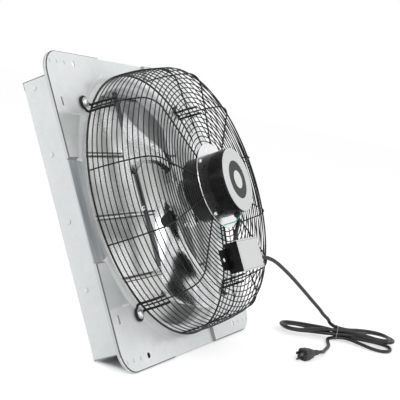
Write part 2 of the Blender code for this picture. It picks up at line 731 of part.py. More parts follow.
# Louvers: one hinge empty each, on the hinge's axis


def louver_height(k):
    return HALF_BOX - LOUVER_TOP_DROP - k * LOUVER_PITCH


def louver_section():
    """Hem, blade and turned lower lip as (back, up) points about the hinge."""
    points = []
    for k in range(HEM_STEPS + 1):
        angle = HEM_END + (HEM_START - HEM_END) * k / HEM_STEPS
        points.append((HEM_RADIUS * math.cos(angle), HEM_RADIUS * math.sin(angle)))
    down = Vector((math.sin(LOUVER_LEAN), -math.cos(LOUVER_LEAN)))
    knee = Vector(points[-1]) + down * (LOUVER_DROP - LOUVER_LIP)
    lip_way = Vector((math.sin(LOUVER_LIP_TURN), -math.cos(LOUVER_LIP_TURN)))
    return points + [tuple(knee), tuple(knee + lip_way * LOUVER_LIP)]


def ear_mesh(name):
    """A tab with a round end and a pin hole, standing on the hem towards the room."""
    way = Vector((-math.cos(EAR_UP), math.sin(EAR_UP)))
    across = Vector((-way.y, way.x))
    half = EAR_WIDTH / 2
    root = ROD_RADIUS + HEM_GAP + LOUVER_SHEET / 4
    outline = [way * root - across * half]
    for k in range(SMALL_SIDES // 2 + 1):
        angle = math.pi * k / (SMALL_SIDES // 2) - math.pi / 2
        outline.append(way * (EAR_REACH + half * math.cos(angle)) + across * half * math.sin(angle))
    outline.append(way * root + across * half)
    form = bmesh.new()
    base = [form.verts.new((TIE_X - TIE_SHEET / 2 - GAP - EAR_SHEET, p.x, p.y)) for p in outline]
    face = form.faces.new(base)
    moved = bmesh.ops.extrude_face_region(form, geom=[face])["geom"]
    bmesh.ops.translate(form, vec=Vector((EAR_SHEET, 0, 0)),
                        verts=[part for part in moved if isinstance(part, bmesh.types.BMVert)])
    return mesh_of(name, form)


def ear_pin_place():
    return Vector((0, -EAR_REACH * math.cos(EAR_UP), EAR_REACH * math.sin(EAR_UP)))


def make_louvers():
    for k in range(LOUVER_COUNT):
        name = "louver_%d" % (k + 1)
        hinge = add_empty("hinge_%d" % (k + 1), STAND, (0, LOUVER_PIVOT_Y, louver_height(k)))
        form = bmesh.new()
        rows = [[form.verts.new((x, back, up)) for back, up in louver_section()]
                for x in (-LOUVER_HALF, LOUVER_HALF)]
        for j in range(len(rows[0]) - 1):
            form.faces.new((rows[0][j], rows[0][j + 1], rows[1][j + 1], rows[1][j]))
        mesh = bpy.data.meshes.new(name)
        form.to_mesh(mesh)
        form.free()
        louver = add_object(name, mesh, LOUVER_METAL, hinge)
        solidify(louver, LOUVER_SHEET, BOTH_WAYS)
        join(louver, ear_mesh(name + "_ear_form"), hinge, "ear")
        pin = ear_pin_place()
        hole = cylinder_mesh("hole", LINK_PIN_RADIUS + LINK_PIN_GAP, pin - Vector((OVERRUN * 2, 0, 0)),
                             pin + Vector((TIE_X + OVERRUN, 0, 0)), SMALL_SIDES)
        cut(louver, hole, hinge, "pin_hole")
        make_rod(k, hinge)


def make_rod(k, hinge):
    """A hinge rod through both sides of the box, riveted over at its ends."""
    rod = add_object("louver_rod_%d" % (k + 1),
                     cylinder_mesh("rod", ROD_RADIUS, (-HALF_BOX - GAP - ROD_HEAD / 2, 0, 0),
                                   (HALF_BOX + GAP + ROD_HEAD / 2, 0, 0), ROD_SIDES), STEEL, hinge)
    for right in (-1, 1):
        start = Vector((right * (HALF_BOX + GAP), 0, 0))
        head = cylinder_mesh("head", ROD_HEAD_RADIUS, start, start + Vector((right * ROD_HEAD, 0, 0)),
                             SMALL_SIDES)
        join(rod, head, hinge, "head_%d" % (right + 1))


def make_tie_bar():
    """A flat bar with four link pins, carried by the first louver's ear."""
    pin = ear_pin_place()
    link = add_empty("tie_link", bpy.data.objects["hinge_1"], pin)
    half_x, half_y = TIE_SHEET / 2, TIE_WIDTH / 2
    bottom = -(LOUVER_COUNT - 1) * LOUVER_PITCH - TIE_END
    bar = add_object("tie_bar", span_box("tie_bar", (TIE_X - half_x, -half_y, bottom),
                                         (TIE_X + half_x, half_y, TIE_END)), STEEL, link)
    for k in range(LOUVER_COUNT):
        z = -k * LOUVER_PITCH
        start = TIE_X - half_x - GAP * 2 - EAR_SHEET - LINK_PIN_GAP
        stub = cylinder_mesh("pin", LINK_PIN_RADIUS, (start, 0, z), (TIE_X, 0, z), SMALL_SIDES)
        join(bar, stub, link, "pin_%d" % k)


# Wire guard: rings and ribs welded into one cage


def guard_profile():
    """The rings' (radius, out) pairs from the back ring to the motor plate."""
    profile = []
    for k in range(GUARD_SIDE_RINGS):
        t = k / (GUARD_SIDE_RINGS - 1)
        bow = (GUARD_BACK_RADIUS - GUARD_SIDE_RADIUS) * t ** 2
        profile.append((GUARD_BACK_RADIUS - bow, GUARD_BACK_OUT + (GUARD_SIDE_OUT - GUARD_BACK_OUT) * t))
    start = Vector((GUARD_SIDE_RADIUS, GUARD_SIDE_OUT))
    end = Vector((GUARD_FRONT_RADIUS, GUARD_FRONT_OUT))
    knee = Vector((GUARD_SIDE_RADIUS, GUARD_FRONT_OUT))
    for k in range(1, GUARD_SHOULDER_RINGS + 1):
        t = k / GUARD_SHOULDER_RINGS
        chord = start.lerp(end, t)
        bulge = GUARD_SHOULDER_BULGE_SHARE * 4 * t * (1 - t)
        profile.append(tuple(chord + (knee - (start + end) / 2) * bulge))
    for k in range(1, GUARD_FRONT_RINGS + 1):
        t = k / GUARD_FRONT_RINGS
        profile.append((GUARD_FRONT_RADIUS + (GUARD_HUB_RADIUS - GUARD_FRONT_RADIUS) * t, GUARD_FRONT_OUT))
    return profile


def guard_side_radius(out):
    t = (out - GUARD_BACK_OUT) / (GUARD_SIDE_OUT - GUARD_BACK_OUT)
    return GUARD_BACK_RADIUS - (GUARD_BACK_RADIUS - GUARD_SIDE_RADIUS) * t * abs(t)


def make_guard():
    """Each opening between two ribs and two rings is one face, and a Wireframe modifier turns the
    faces' edges into wires that meet where the real ones are welded."""
    steps = GUARD_RIBS * GUARD_BAY_STEPS
    half_bay = math.pi / GUARD_RIBS
    form = bmesh.new()
    rings = []
    for radius, out in guard_profile():
        ring = []
        for k in range(steps):
            angle = half_bay + math.tau * k / steps
            ring.append(form.verts.new((radius * math.cos(angle), radius * math.sin(angle), out)))
        rings.append(ring)
    for ring, after in zip(rings, rings[1:]):
        for rib in range(GUARD_RIBS):
            bay = [(rib * GUARD_BAY_STEPS + k) % steps for k in range(GUARD_BAY_STEPS + 1)]
            form.faces.new([ring[k] for k in bay] + [after[k] for k in reversed(bay)])
    mesh = bpy.data.meshes.new("wire_guard")
    form.to_mesh(mesh)
    form.free()
    guard = add_object("wire_guard", mesh, GUARD_BLACK, AXIS)
    wires = guard.modifiers.new("wires", "WIREFRAME")
    wires.thickness = GUARD_WIRE
    wires.offset = 0
    wires.use_even_offset = False
    wires.use_boundary = True
    wires.use_replace = True
    for k in range(FOOT_COUNT):
        angle = FOOT_FIRST_ANGLE + k * math.tau / FOOT_COUNT
        loop = wire_curve("foot_form", foot_loop(angle), FOOT_WIRE_RADIUS, None, AXIS, resolution=1)
        join(guard, curve_to_mesh(loop), AXIS, "foot_%d" % k)


def foot_places():
    for k in range(FOOT_COUNT):
        angle = FOOT_FIRST_ANGLE + k * math.tau / FOOT_COUNT
        yield FOOT_RADIUS * math.cos(angle), FOOT_RADIUS * math.sin(angle)


def foot_loop(angle):
    """One bent wire: up a leg from the guard's side, round the screw and back up the other leg."""
    low = FOOT_WIRE_RADIUS + GAP
    root = guard_side_radius(GUARD_BACK_OUT) + FOOT_WIRE_RADIUS / 2
    leg = [(guard_side_radius(FOOT_LEG_TOP) + FOOT_WIRE_RADIUS / 2, FOOT_LEG_APART, FOOT_LEG_TOP),
           (guard_side_radius(FOOT_LEG_TOP / 2) + FOOT_WIRE_RADIUS / 2, FOOT_LEG_APART, FOOT_LEG_TOP / 2),
           (root, FOOT_LEG_APART, low * 2), (root + low, FOOT_LEG_APART, low)]
    spread = math.pi - math.asin(FOOT_LEG_APART / FOOT_LOOP_RADIUS)
    loop = []
    for k in range(FOOT_LOOP_STEPS + 1):
        turn = spread * (1 - 2 * k / FOOT_LOOP_STEPS)
        loop.append((FOOT_RADIUS + FOOT_LOOP_RADIUS * math.cos(turn), FOOT_LOOP_RADIUS * math.sin(turn), low))
    back = [(out, -apart, up) for out, apart, up in reversed(leg)]
    turn = Matrix.Rotation(angle, 3, "Z")
    return [turn @ Vector(place) for place in leg + loop + back]


def make_guard_screws():
    """A pan head screw and its washer, which rests on the foot's loop."""
    washer = 2 * (FOOT_WIRE_RADIUS + GAP)
    head = washer + WASHER_SHEET
    top = head + FOOT_SCREW_HEAD
    end = head - FOOT_SCREW_LENGTH
    profile = [(0, top), (FOOT_SCREW_HEAD_RADIUS / 2, top),
               (FOOT_SCREW_HEAD_RADIUS, head + FOOT_SCREW_HEAD / 2), (FOOT_SCREW_HEAD_RADIUS, head),
               (WASHER_RADIUS, head), (WASHER_RADIUS, washer), (FOOT_SCREW_RADIUS, washer),
               (FOOT_SCREW_RADIUS, end), (0, end)]
    for k, (x, z) in enumerate(foot_places()):
        place = add_empty("foot_%d" % (k + 1), AXIS, (x, z, 0))
        turned("guard_screw_%d" % (k + 1), profile, SCREW_METAL, place, closed=False, sides=SMALL_SIDES)


# Motor plate and motor


def bolt_places():
    for k in range(BOLT_COUNT):
        angle = BOLT_FIRST_ANGLE + k * math.tau / BOLT_COUNT
        yield k, BOLT_CIRCLE_RADIUS * math.cos(angle), BOLT_CIRCLE_RADIUS * math.sin(angle)


def cut_bolt_holes(item, back, front):
    for k, x, y in bolt_places():
        hole = cylinder_mesh("hole", BOLT_RADIUS + GAP, (x, y, back - OVERRUN), (x, y, front + OVERRUN),
                             SMALL_SIDES)
        cut(item, hole, AXIS, "bolt_hole_%d" % k)


def make_motor_plate():
    """A flat ring in front of the guard, which the motor's drum passes through."""
    plate = turned("motor_plate", [(PLATE_HOLE_RADIUS, PLATE_FRONT), (PLATE_RADIUS, PLATE_FRONT),
                                   (PLATE_RADIUS, PLATE_BACK), (PLATE_HOLE_RADIUS, PLATE_BACK)],
                   GALVANISED, AXIS)
    cut_bolt_holes(plate, PLATE_BACK, PLATE_FRONT)
    slot = box_mesh("slot", (PLATE_SLOT_WIDTH, PLATE_SLOT_LENGTH, 2 * OVERRUN), (0, 0, 0))
    slot.transform(Matrix.Rotation(PLATE_SLOT_ANGLE, 4, "Z")
                   @ Matrix.Translation((PLATE_SLOT_RADIUS, 0, (PLATE_BACK + PLATE_FRONT) / 2))
                   @ Matrix.Rotation(PLATE_SLOT_TURN, 4, "Z"))
    slot.update()
    cut(plate, slot, AXIS, "slot")


def make_motor_shell():
    """One turned drum, open at the front, with a flange behind the plate and a bearing seat at its back."""
    inner, back = MOTOR_RADIUS - MOTOR_WALL, MOTOR_BACK_OUT
    seat_front = back + MOTOR_BEARING_SEAT
    profile = [(MOTOR_RADIUS - MOTOR_EDGE, MOTOR_FRONT_OUT), (MOTOR_RADIUS, MOTOR_FRONT_OUT - MOTOR_EDGE),
               (MOTOR_RADIUS, FLANGE_FRONT), (MOTOR_FLANGE_RADIUS, FLANGE_FRONT),
               (MOTOR_FLANGE_RADIUS, FLANGE_BACK), (MOTOR_RADIUS, FLANGE_BACK),
               (MOTOR_RADIUS, back + MOTOR_EDGE), (MOTOR_RADIUS - MOTOR_EDGE, back),
               (BORE_RADIUS + MOTOR_EDGE, back), (BORE_RADIUS + MOTOR_EDGE, back + MOTOR_EDGE),
               (SEAT_RADIUS, back + MOTOR_EDGE), (SEAT_RADIUS, seat_front),
               (SEAT_RADIUS + BEARING_COLLAR, seat_front), (SEAT_RADIUS + BEARING_COLLAR, back + MOTOR_WALL),
               (inner, back + MOTOR_WALL), (inner, MOTOR_FRONT_OUT)]
    shell = turned("motor_shell", profile, MOTOR_BLACK, AXIS)
    cut_bolt_holes(shell, FLANGE_BACK, FLANGE_FRONT)


def make_motor_bolts():
    """Screws through the plate and the flange behind it, their heads on the plate."""
    head = PLATE_FRONT + GAP
    profile = [(0, head + BOLT_HEAD), (BOLT_HEAD_RADIUS * BOLT_TOP_SHARE, head + BOLT_HEAD),
               (BOLT_HEAD_RADIUS, head + BOLT_HEAD / 2), (BOLT_HEAD_RADIUS, head), (BOLT_RADIUS, head),
               (BOLT_RADIUS, FLANGE_BACK), (0, FLANGE_BACK)]
    for k, x, y in bolt_places():
        place = add_empty("bolt_%d" % (k + 1), AXIS, (x, y, 0))
        turned("motor_bolt_%d" % (k + 1), profile, SCREW_METAL, place, closed=False, sides=SMALL_SIDES)


def make_motor_face():
    """Light front ring with its ledge and spigot, dark end disc in it and a domed shaft cap."""
    spigot = MOTOR_RADIUS - MOTOR_WALL - GAP
    spigot_inner = spigot - MOTOR_EDGE
    spigot_back = FACE_BACK - FACE_SPIGOT
    ring = [(FACE_RING_HOLE_RADIUS, FACE_FRONT), (MOTOR_RADIUS - MOTOR_EDGE, FACE_FRONT),
            (MOTOR_RADIUS - MOTOR_EDGE / 2, FACE_BACK), (spigot, FACE_BACK), (spigot, spigot_back),
            (spigot_inner, spigot_back), (spigot_inner, FACE_BACK),
            (FACE_RING_HOLE_RADIUS + MOTOR_EDGE, FACE_BACK), (FACE_RING_HOLE_RADIUS + MOTOR_EDGE, LEDGE_BACK),
            (FACE_LEDGE_RADIUS, LEDGE_BACK),
            (FACE_LEDGE_RADIUS, LEDGE_FRONT), (FACE_RING_HOLE_RADIUS, LEDGE_FRONT)]
    turned("motor_face_ring", ring, FACE_GREY, AXIS)
    rim = FACE_RING_HOLE_RADIUS - GAP
    seat_back = DISC_FRONT - BEARING_WIDTH - 2 * GAP
    disc = [(BORE_RADIUS + MOTOR_EDGE, DISC_FRONT), (rim, DISC_FRONT), (rim, DISC_BACK),
            (SEAT_RADIUS + BEARING_COLLAR, DISC_BACK), (SEAT_RADIUS + BEARING_COLLAR, seat_back),
            (SEAT_RADIUS, seat_back), (SEAT_RADIUS, DISC_FRONT - MOTOR_EDGE),
            (BORE_RADIUS + MOTOR_EDGE, DISC_FRONT - MOTOR_EDGE)]
    turned("motor_end_disc", disc, MOTOR_BLACK, AXIS)
    back = DISC_FRONT + GAP
    crown = [(CAP_RADIUS * wide, back + CAP_HEIGHT * high) for wide, high in CAP_PROFILE_SHARES]
    cap = [(0, back + CAP_HEIGHT), *crown, (CAP_RADIUS, back + CAP_EDGE), (CAP_RADIUS, back), (0, back)]
    turned("shaft_cap", cap, SCREW_METAL, AXIS, closed=False)


def make_motor_inside():
    """Stator, rotor core, shaft and two ball bearings."""
    outer = MOTOR_RADIUS - MOTOR_WALL - GAP
    stator_front = STATOR_BACK + STATOR_LENGTH
    turned("stator", [(STATOR_BORE_RADIUS, stator_front), (outer, stator_front), (outer, STATOR_BACK),
                      (STATOR_BORE_RADIUS, STATOR_BACK)], COPPER, AXIS)
    core_front = STATOR_BACK + ROTOR_CORE_LENGTH
    turned("rotor_core", [(BORE_RADIUS, core_front), (ROTOR_CORE_RADIUS, core_front),
                          (ROTOR_CORE_RADIUS, STATOR_BACK), (BORE_RADIUS, STATOR_BACK)], STEEL, AXIS)
    shaft_front = DISC_FRONT - MOTOR_EDGE
    shaft_back = FAN_OUT - HUB_BACK - GAP - HUB_NUT - SHAFT_END
    turned("motor_shaft", [(0, shaft_front), (SHAFT_RADIUS, shaft_front), (SHAFT_RADIUS, shaft_back),
                           (0, shaft_back)], STEEL, AXIS, closed=False, sides=ROUND_SIDES // 2)
    rear = MOTOR_BACK_OUT + MOTOR_EDGE + GAP
    front = DISC_FRONT - MOTOR_EDGE - GAP - BEARING_WIDTH
    for name, back in (("bearing_rear", rear), ("bearing_front", front)):
        turned(name, [(BORE_RADIUS, back + BEARING_WIDTH), (BEARING_RADIUS, back + BEARING_WIDTH),
                      (BEARING_RADIUS, back), (BORE_RADIUS, back)], STEEL, AXIS, sides=ROUND_SIDES // 2)


# Fan: a spider hub, three pitched and cambered blades and a nut


def blade_edges(u):
    """The angles of the blade's leading and trailing edges at share u of its span, from its arm's line."""
    lead = BLADE_LEAD_ROOT + (BLADE_LEAD_TIP - BLADE_LEAD_ROOT) * u + BLADE_LEAD_BOW * 4 * u * (1 - u)
    trail = BLADE_TRAIL_ROOT + (BLADE_TRAIL_TIP - BLADE_TRAIL_ROOT) * u
    return lead, trail - BLADE_TRAIL_ROUND * u ** BLADE_ROUND_POWER


def blade_point(u, v, lift=0.0):
    """A point of the blade's middle surface; lift moves it along the surface's normal, to the room."""
    radius = BLADE_ROOT_RADIUS + (BLADE_TIP_RADIUS - BLADE_ROOT_RADIUS) * u
    pitch = BLADE_ROOT_PITCH + (BLADE_TIP_PITCH - BLADE_ROOT_PITCH) * max(0, u)
    lead, trail = blade_edges(max(0, u))
    half = (trail - lead) / 2
    out = FAN_OUT + v * half * radius * math.tan(pitch) + BLADE_CAMBER * (1 - v ** 2)
    angle = (lead + trail) / 2 + v * half
    out += lift * math.cos(pitch)
    angle -= lift * math.sin(pitch) / radius
    return Vector((radius * math.cos(angle), radius * math.sin(angle), out))


def surface_mesh(name, grid):
    form = bmesh.new()
    rows = [[form.verts.new(place) for place in row] for row in grid]
    for row, after in zip(rows, rows[1:]):
        for k in range(len(row) - 1):
            form.faces.new((row[k], after[k], after[k + 1], row[k + 1]))
    mesh = bpy.data.meshes.new(name)
    form.to_mesh(mesh)
    form.free()
    return mesh


def arm_mesh(name):
    """A hub arm: a straight strip that lies on the blade's front face and runs into the hub."""
    lift = BLADE_SHEET / 2 + ARM_SEAT + ARM_SHEET / 2
    span = BLADE_TIP_RADIUS - BLADE_ROOT_RADIUS
    start = (HUB_RADIUS * ARM_START_SHARE - BLADE_ROOT_RADIUS) / span
    layers = []
    for side in (-1, 1):
        grid = []
        for k in range(ARM_STEPS + 1):
            u = start + (ARM_REACH_SHARE - start) * k / ARM_STEPS
            lead, trail = blade_edges(max(0, u))
            turns = (across * ARM_HALF / (BLADE_ROOT_RADIUS + span * u) for across in (-1, 0, 1))
            shares = ((2 * turn - lead - trail) / (trail - lead) for turn in turns)
            grid.append([blade_point(u, share, lift + side * ARM_SHEET / 2) for share in shares])
        layers.append(grid)
    form = bmesh.new()
    low, high = [[[form.verts.new(p) for p in row] for row in grid] for grid in layers]
    last = ARM_STEPS
    for k in range(last):
        for j in range(2):
            form.faces.new((low[k][j], low[k + 1][j], low[k + 1][j + 1], low[k][j + 1]))
            form.faces.new((high[k][j], high[k][j + 1], high[k + 1][j + 1], high[k + 1][j]))
        for j in (0, 2):
            form.faces.new((low[k][j], low[k + 1][j], high[k + 1][j], high[k][j]))
    for k in (0, last):
        for j in range(2):
            form.faces.new((low[k][j], low[k][j + 1], high[k][j + 1], high[k][j]))
    return mesh_of(name, form)


def make_fan():
    hub_back, hub_front = FAN_OUT - HUB_BACK, FAN_OUT + HUB_FRONT
    hub = turned("fan_hub", [(BORE_RADIUS, hub_front), (HUB_RADIUS, hub_front), (HUB_RADIUS, hub_back),
                             (BORE_RADIUS, hub_back)], GUARD_BLACK, AXIS)
    for k in range(FAN_COUNT):
        angle = FAN_PHASE + k * math.tau / FAN_COUNT
        mount = add_empty("blade_mount_%d" % (k + 1), AXIS, turn=(0, 0, angle))
        grid = [[blade_point(i / BLADE_SPAN_STEPS, 2 * j / BLADE_CHORD_STEPS - 1)
                 for j in range(BLADE_CHORD_STEPS + 1)] for i in range(BLADE_SPAN_STEPS + 1)]
        blade = add_object("blade_%d" % (k + 1), surface_mesh("blade", grid), BLADE_METAL, mount)
        solidify(blade, BLADE_SHEET, BOTH_WAYS)
        smooth(blade)
        join(hub, arm_mesh("arm"), mount, "arm_%d" % k)
    nut_front = hub_back - GAP
    nut_back = nut_front - HUB_NUT
    form = cylinder_mesh("hub_nut", HUB_NUT_RADIUS, (0, 0, nut_back), (0, 0, nut_front), HEXAGON)
    nut = add_object("hub_nut", form, SCREW_METAL, AXIS)
    bore = cylinder_mesh("bore", BORE_RADIUS, (0, 0, nut_back - OVERRUN), (0, 0, nut_front + OVERRUN))
    cut(nut, bore, AXIS, "bore")


# Junction box on the guard's front, its bracket, cover, screws, leads and capacitor


def junction_span(out_low, out_high, inset=0.0):
    """Two corners of a box in front of the guard, in the fan's own frame."""
    half_x, half_z = JUNCTION_WIDTH / 2 - inset, JUNCTION_HEIGHT / 2 - inset
    return (-half_x, -out_high, -JUNCTION_LOW - half_z), (half_x, -out_low, -JUNCTION_LOW + half_z)


def lead_place():
    """Where the motor lead passes the junction box's top wall."""
    grommet_out = MOTOR_FRONT_OUT - GROMMET_BACK
    top = -JUNCTION_LOW + JUNCTION_HEIGHT / 2
    depth = min(grommet_out, JUNCTION_FRONT - COVER_LIP - LEAD_RADIUS - 2 * LEAD_GAP)
    return Vector((-LEAD_LEFT, -depth, top))


def gland_place():
    """The gland's axis where it leaves the box's right wall."""
    low = -JUNCTION_LOW - JUNCTION_HEIGHT / 2 + GLAND_DOWN + JUNCTION_WALL + GAP
    out = JUNCTION_BACK + JUNCTION_DEPTH / 2
    return Vector((JUNCTION_WIDTH / 2, -out, low))


def make_junction_box():
    box = add_object("junction_box", span_box("junction_box", *junction_span(JUNCTION_BACK, JUNCTION_FRONT)),
                     MOTOR_BLACK, STAND)
    hollow = junction_span(JUNCTION_BACK + JUNCTION_WALL, JUNCTION_FRONT + OVERRUN, JUNCTION_WALL)
    cut(box, span_box("hollow", *hollow), STAND, "hollow")
    lead, gland = lead_place(), gland_place()
    up, right = Vector((0, 0, OVERRUN)), Vector((OVERRUN, 0, 0))
    for name, place, reach, radius in (("lead", lead, up, LEAD_RADIUS + LEAD_GAP),
                                       ("gland", gland, right, GLAND_HOLE_RADIUS)):
        cut(box, cylinder_mesh("hole", radius, place - reach, place + reach, SMALL_SIDES), STAND, name)


def make_junction_cover():
    """A flat cover with a lip over the box's top and one under its bottom."""
    half_x = JUNCTION_WIDTH / 2
    lip = GAP + JUNCTION_WALL
    low, high = junction_span(JUNCTION_FRONT + GAP, COVER_FRONT)
    form = span_box("cover", (low[0], low[1], low[2] - lip), (high[0], high[1], high[2] + lip))
    cover = add_object("junction_cover", form, COVER_GREY, STAND)
    for name, inner in (("lip_low", low[2] - GAP), ("lip_high", high[2] + lip)):
        form = span_box(name, (-half_x, -COVER_FRONT + JUNCTION_WALL / 2, inner - JUNCTION_WALL),
                        (half_x, -JUNCTION_FRONT + COVER_LIP, inner))
        join(cover, form, STAND, name)


def make_junction_bracket():
    """A strap behind the box, screwed to the guard's front wires at both ends."""
    reach = JUNCTION_WIDTH / 2 + BRACKET_EAR
    form = span_box("bracket", (-reach, -BRACKET_FRONT, -JUNCTION_LOW - BRACKET_HALF),
                    (reach, -BRACKET_BACK, -JUNCTION_LOW + BRACKET_HALF))
    bracket = add_object("junction_bracket", form, GUARD_BLACK, STAND)
    shank, head = FOOT_SCREW_RADIUS, BRACKET_FRONT + GAP
    top = head + JUNCTION_SCREW_HEAD
    profile = [(0, top), (JUNCTION_SCREW_RADIUS * JUNCTION_SCREW_TOP_SHARE, top),
               (JUNCTION_SCREW_RADIUS, head + JUNCTION_SCREW_HEAD / 2), (JUNCTION_SCREW_RADIUS, head),
               (shank, head), (shank, BRACKET_BACK), (0, BRACKET_BACK)]
    for k, right in enumerate((-1, 1)):
        x = right * (reach - JUNCTION_SCREW_INSET)
        place = add_empty("junction_screw_place_%d" % (k + 1), AXIS, (x, -JUNCTION_LOW, 0))
        turned("junction_screw_%d" % (k + 1), profile, SCREW_METAL, place, closed=False, sides=SMALL_SIDES)
        hole = cylinder_mesh("hole", shank + GAP, (x, -BRACKET_FRONT - OVERRUN, -JUNCTION_LOW),
                             (x, -BRACKET_BACK + OVERRUN, -JUNCTION_LOW), SMALL_SIDES)
        cut(bracket, hole, STAND, "screw_hole_%d" % k)


def make_capacitor():
    back = JUNCTION_BACK + JUNCTION_WALL + GAP
    form = box_mesh("run_capacitor", (CAPACITOR_WIDTH, CAPACITOR_DEPTH, CAPACITOR_HEIGHT),
                    (0, -back - CAPACITOR_DEPTH / 2, -JUNCTION_LOW))
    edge = add_object("run_capacitor", form, CAPACITOR_GREY, STAND).modifiers.new("edge", "BEVEL")
    edge.width = CAPACITOR_EDGE
    edge.segments = 2


def make_leads():
    """Grommet under the motor, the thick lead to the junction box and the green earth wire."""
    lead = lead_place()
    out = MOTOR_FRONT_OUT - GROMMET_BACK
    start = Vector((0, -out, -MOTOR_RADIUS - GAP))
    grommet = add_empty("grommet_place", STAND, start, (math.radians(180), 0, 0))
    cushion = MOTOR_EDGE
    end = GROMMET_RADIUS * GROMMET_END_SHARE
    profile = [(0, GROMMET_LENGTH), (end, GROMMET_LENGTH), (GROMMET_RADIUS, cushion),
               (GROMMET_RADIUS, 0), (0, 0)]
    turned("lead_gland", profile, CORD_BLACK, grommet, closed=False, sides=ROUND_SIDES // 2)
    begin = start - Vector((0, 0, GROMMET_LENGTH + GAP))
    end = lead - Vector((0, 0, JUNCTION_WALL + LEAD_DIP))
    straight = Vector((0, 0, LEAD_RADIUS * 2))
    route = [begin, begin - straight, (begin + lead) / 2, lead + straight / 2, end]
    wire_curve("motor_lead", smooth_path(route, LEAD_RADIUS * 2), LEAD_RADIUS, CORD_BLACK, STAND)

    radius = PLATE_RADIUS - EARTH_INSET
    on_plate = PLATE_FRONT + GAP + EARTH_RADIUS
    angle = EARTH_START_ANGLE
    first = Vector((radius * math.cos(angle), -on_plate, radius * math.sin(angle)))
    last = start + Vector((-EARTH_INSET, -GROMMET_RADIUS - EARTH_RADIUS - 2 * GAP, -EARTH_RADIUS - GAP))
    sag = (first + last) / 2 - Vector((0, EARTH_SAG, EARTH_SAG))
    route = [first, first.lerp(sag, EARTH_BEND_SHARE), sag, last.lerp(sag, EARTH_BEND_SHARE), last]
    wire_curve("earth_wire", smooth_path(route, EARTH_STEP), EARTH_RADIUS, EARTH_GREEN, STAND, resolution=1)


def make_cord_gland():
    """Strain relief: a barrel through the wall, a flange and a tapered boot."""
    wall = gland_place()
    place = add_empty("gland_place", STAND, wall, (0, math.radians(90), 0))
    barrel = GLAND_HOLE_RADIUS - GAP
    flange_front = GAP + GLAND_FLANGE
    profile = [(0, flange_front + GLAND_TAPER), (GLAND_TIP_RADIUS, flange_front + GLAND_TAPER),
               (GLAND_ROOT_RADIUS, flange_front), (GLAND_FLANGE_RADIUS, flange_front),
               (GLAND_FLANGE_RADIUS, GAP), (barrel, GAP), (barrel, -GLAND_BARREL), (0, -GLAND_BARREL)]
    turned("cord_gland", profile, CORD_BLACK, place, closed=False, sides=ROUND_SIDES // 2)


# Cord: free stretch, tied hank, tail, twist tie and plug


def tube_sizes(points, radius):
    """A swept tube's lowest reach, the least gap to itself and its length, for the builder to read."""
    lengths = [(b - a).length for a, b in zip(points, points[1:])]
    walked = [sum(lengths[:k]) for k in range(len(points))]
    gap = min(((a - b).length for i, a in enumerate(points) for j, b in enumerate(points[:i])
               if walked[i] - walked[j] > OWN_LENGTH), default=math.inf)
    return min(place.z for place in points) - radius, gap - 2 * radius, walked[-1]


def hank_frame():
    """The waist's middle, its direction and the direction across it, all flat on the floor."""
    along = Vector((math.cos(HANK_HEADING), math.sin(HANK_HEADING), 0))
    return Vector((*HANK_MIDDLE, 0)), along, Vector((-along.y, along.x, 0))


def hank_place(flat, layer):
    """A flat place raised to its layer, less what the lobe falls by on its way out from the waist."""
    middle, _, _ = hank_frame()
    share = min(1, max(0, (flat - middle).length - HANK_RUN) / HANK_FALL_OVER)
    fall = HANK_CLIMB * share * share * (3 - 2 * share)
    return Vector((flat.x, flat.y, CORD_RADIUS + CORD_FLOOR_GAP + (layer + 1) * HANK_CLIMB - fall))


def lobe_route(k, onward, side):
    """One lobe: out from one end of the waist and back to the other side of it."""
    middle, along, across = hank_frame()
    length, width, turned_by = HANK_LOBES[k]
    heading = Matrix.Rotation(math.radians(turned_by), 3, "Z")
    out = heading @ (along * onward)
    sideways = heading @ (across * side)
    for share in LOBE_SHARES:
        turn = math.pi * share
        flat = middle + along * onward * HANK_RUN + out * length * math.sin(turn)
        yield hank_place(flat + sideways * width / 2 * math.sin(2 * turn), k)


def hank_route():
    """The hank from its end on the floor, pass by pass and lobe by lobe, up to its end in the air."""
    middle, along, across = hank_frame()
    floor = CORD_RADIUS + CORD_FLOOR_GAP
    route = [Vector((x, y, floor)) for x, y in HANK_TAIL_ROUTE]
    for k in range(len(HANK_LOBES) + 1):
        onward = 1 if k % 2 == 0 else -1
        near, wide = across * -onward * HANK_APART, across * -onward * (HANK_APART + HANK_FLARE)
        if k:
            route.append(hank_place(middle - along * onward * HANK_RUN + wide, k - 1))
        route.append(hank_place(middle + near, k - 1) + Vector((0, 0, HANK_CLIMB / 2)))
        if k < len(HANK_LOBES):
            route.append(hank_place(middle + along * onward * HANK_RUN + wide, k))
            route.extend(lobe_route(k, onward, -onward))
    return route + [Vector(place) for place in HANK_TOP_ROUTE]


def ended(route, start_gap, end_gap):
    """A route with a straight diameter at each end, drawn back by a gap at either end."""
    route = [Vector(place) for place in route]
    first, last = (route[1] - route[0]).normalized(), (route[-2] - route[-1]).normalized()
    straight = 2 * CORD_RADIUS
    return [route[0] + first * start_gap, route[0] + first * (start_gap + straight), *route[1:-1],
            route[-1] + last * (end_gap + straight), route[-1] + last * end_gap]


def onward_place(before, end):
    """A place one step on from an end, so that what meets it there is in line with it."""
    return end + (end - before).normalized() * CORD_STEP


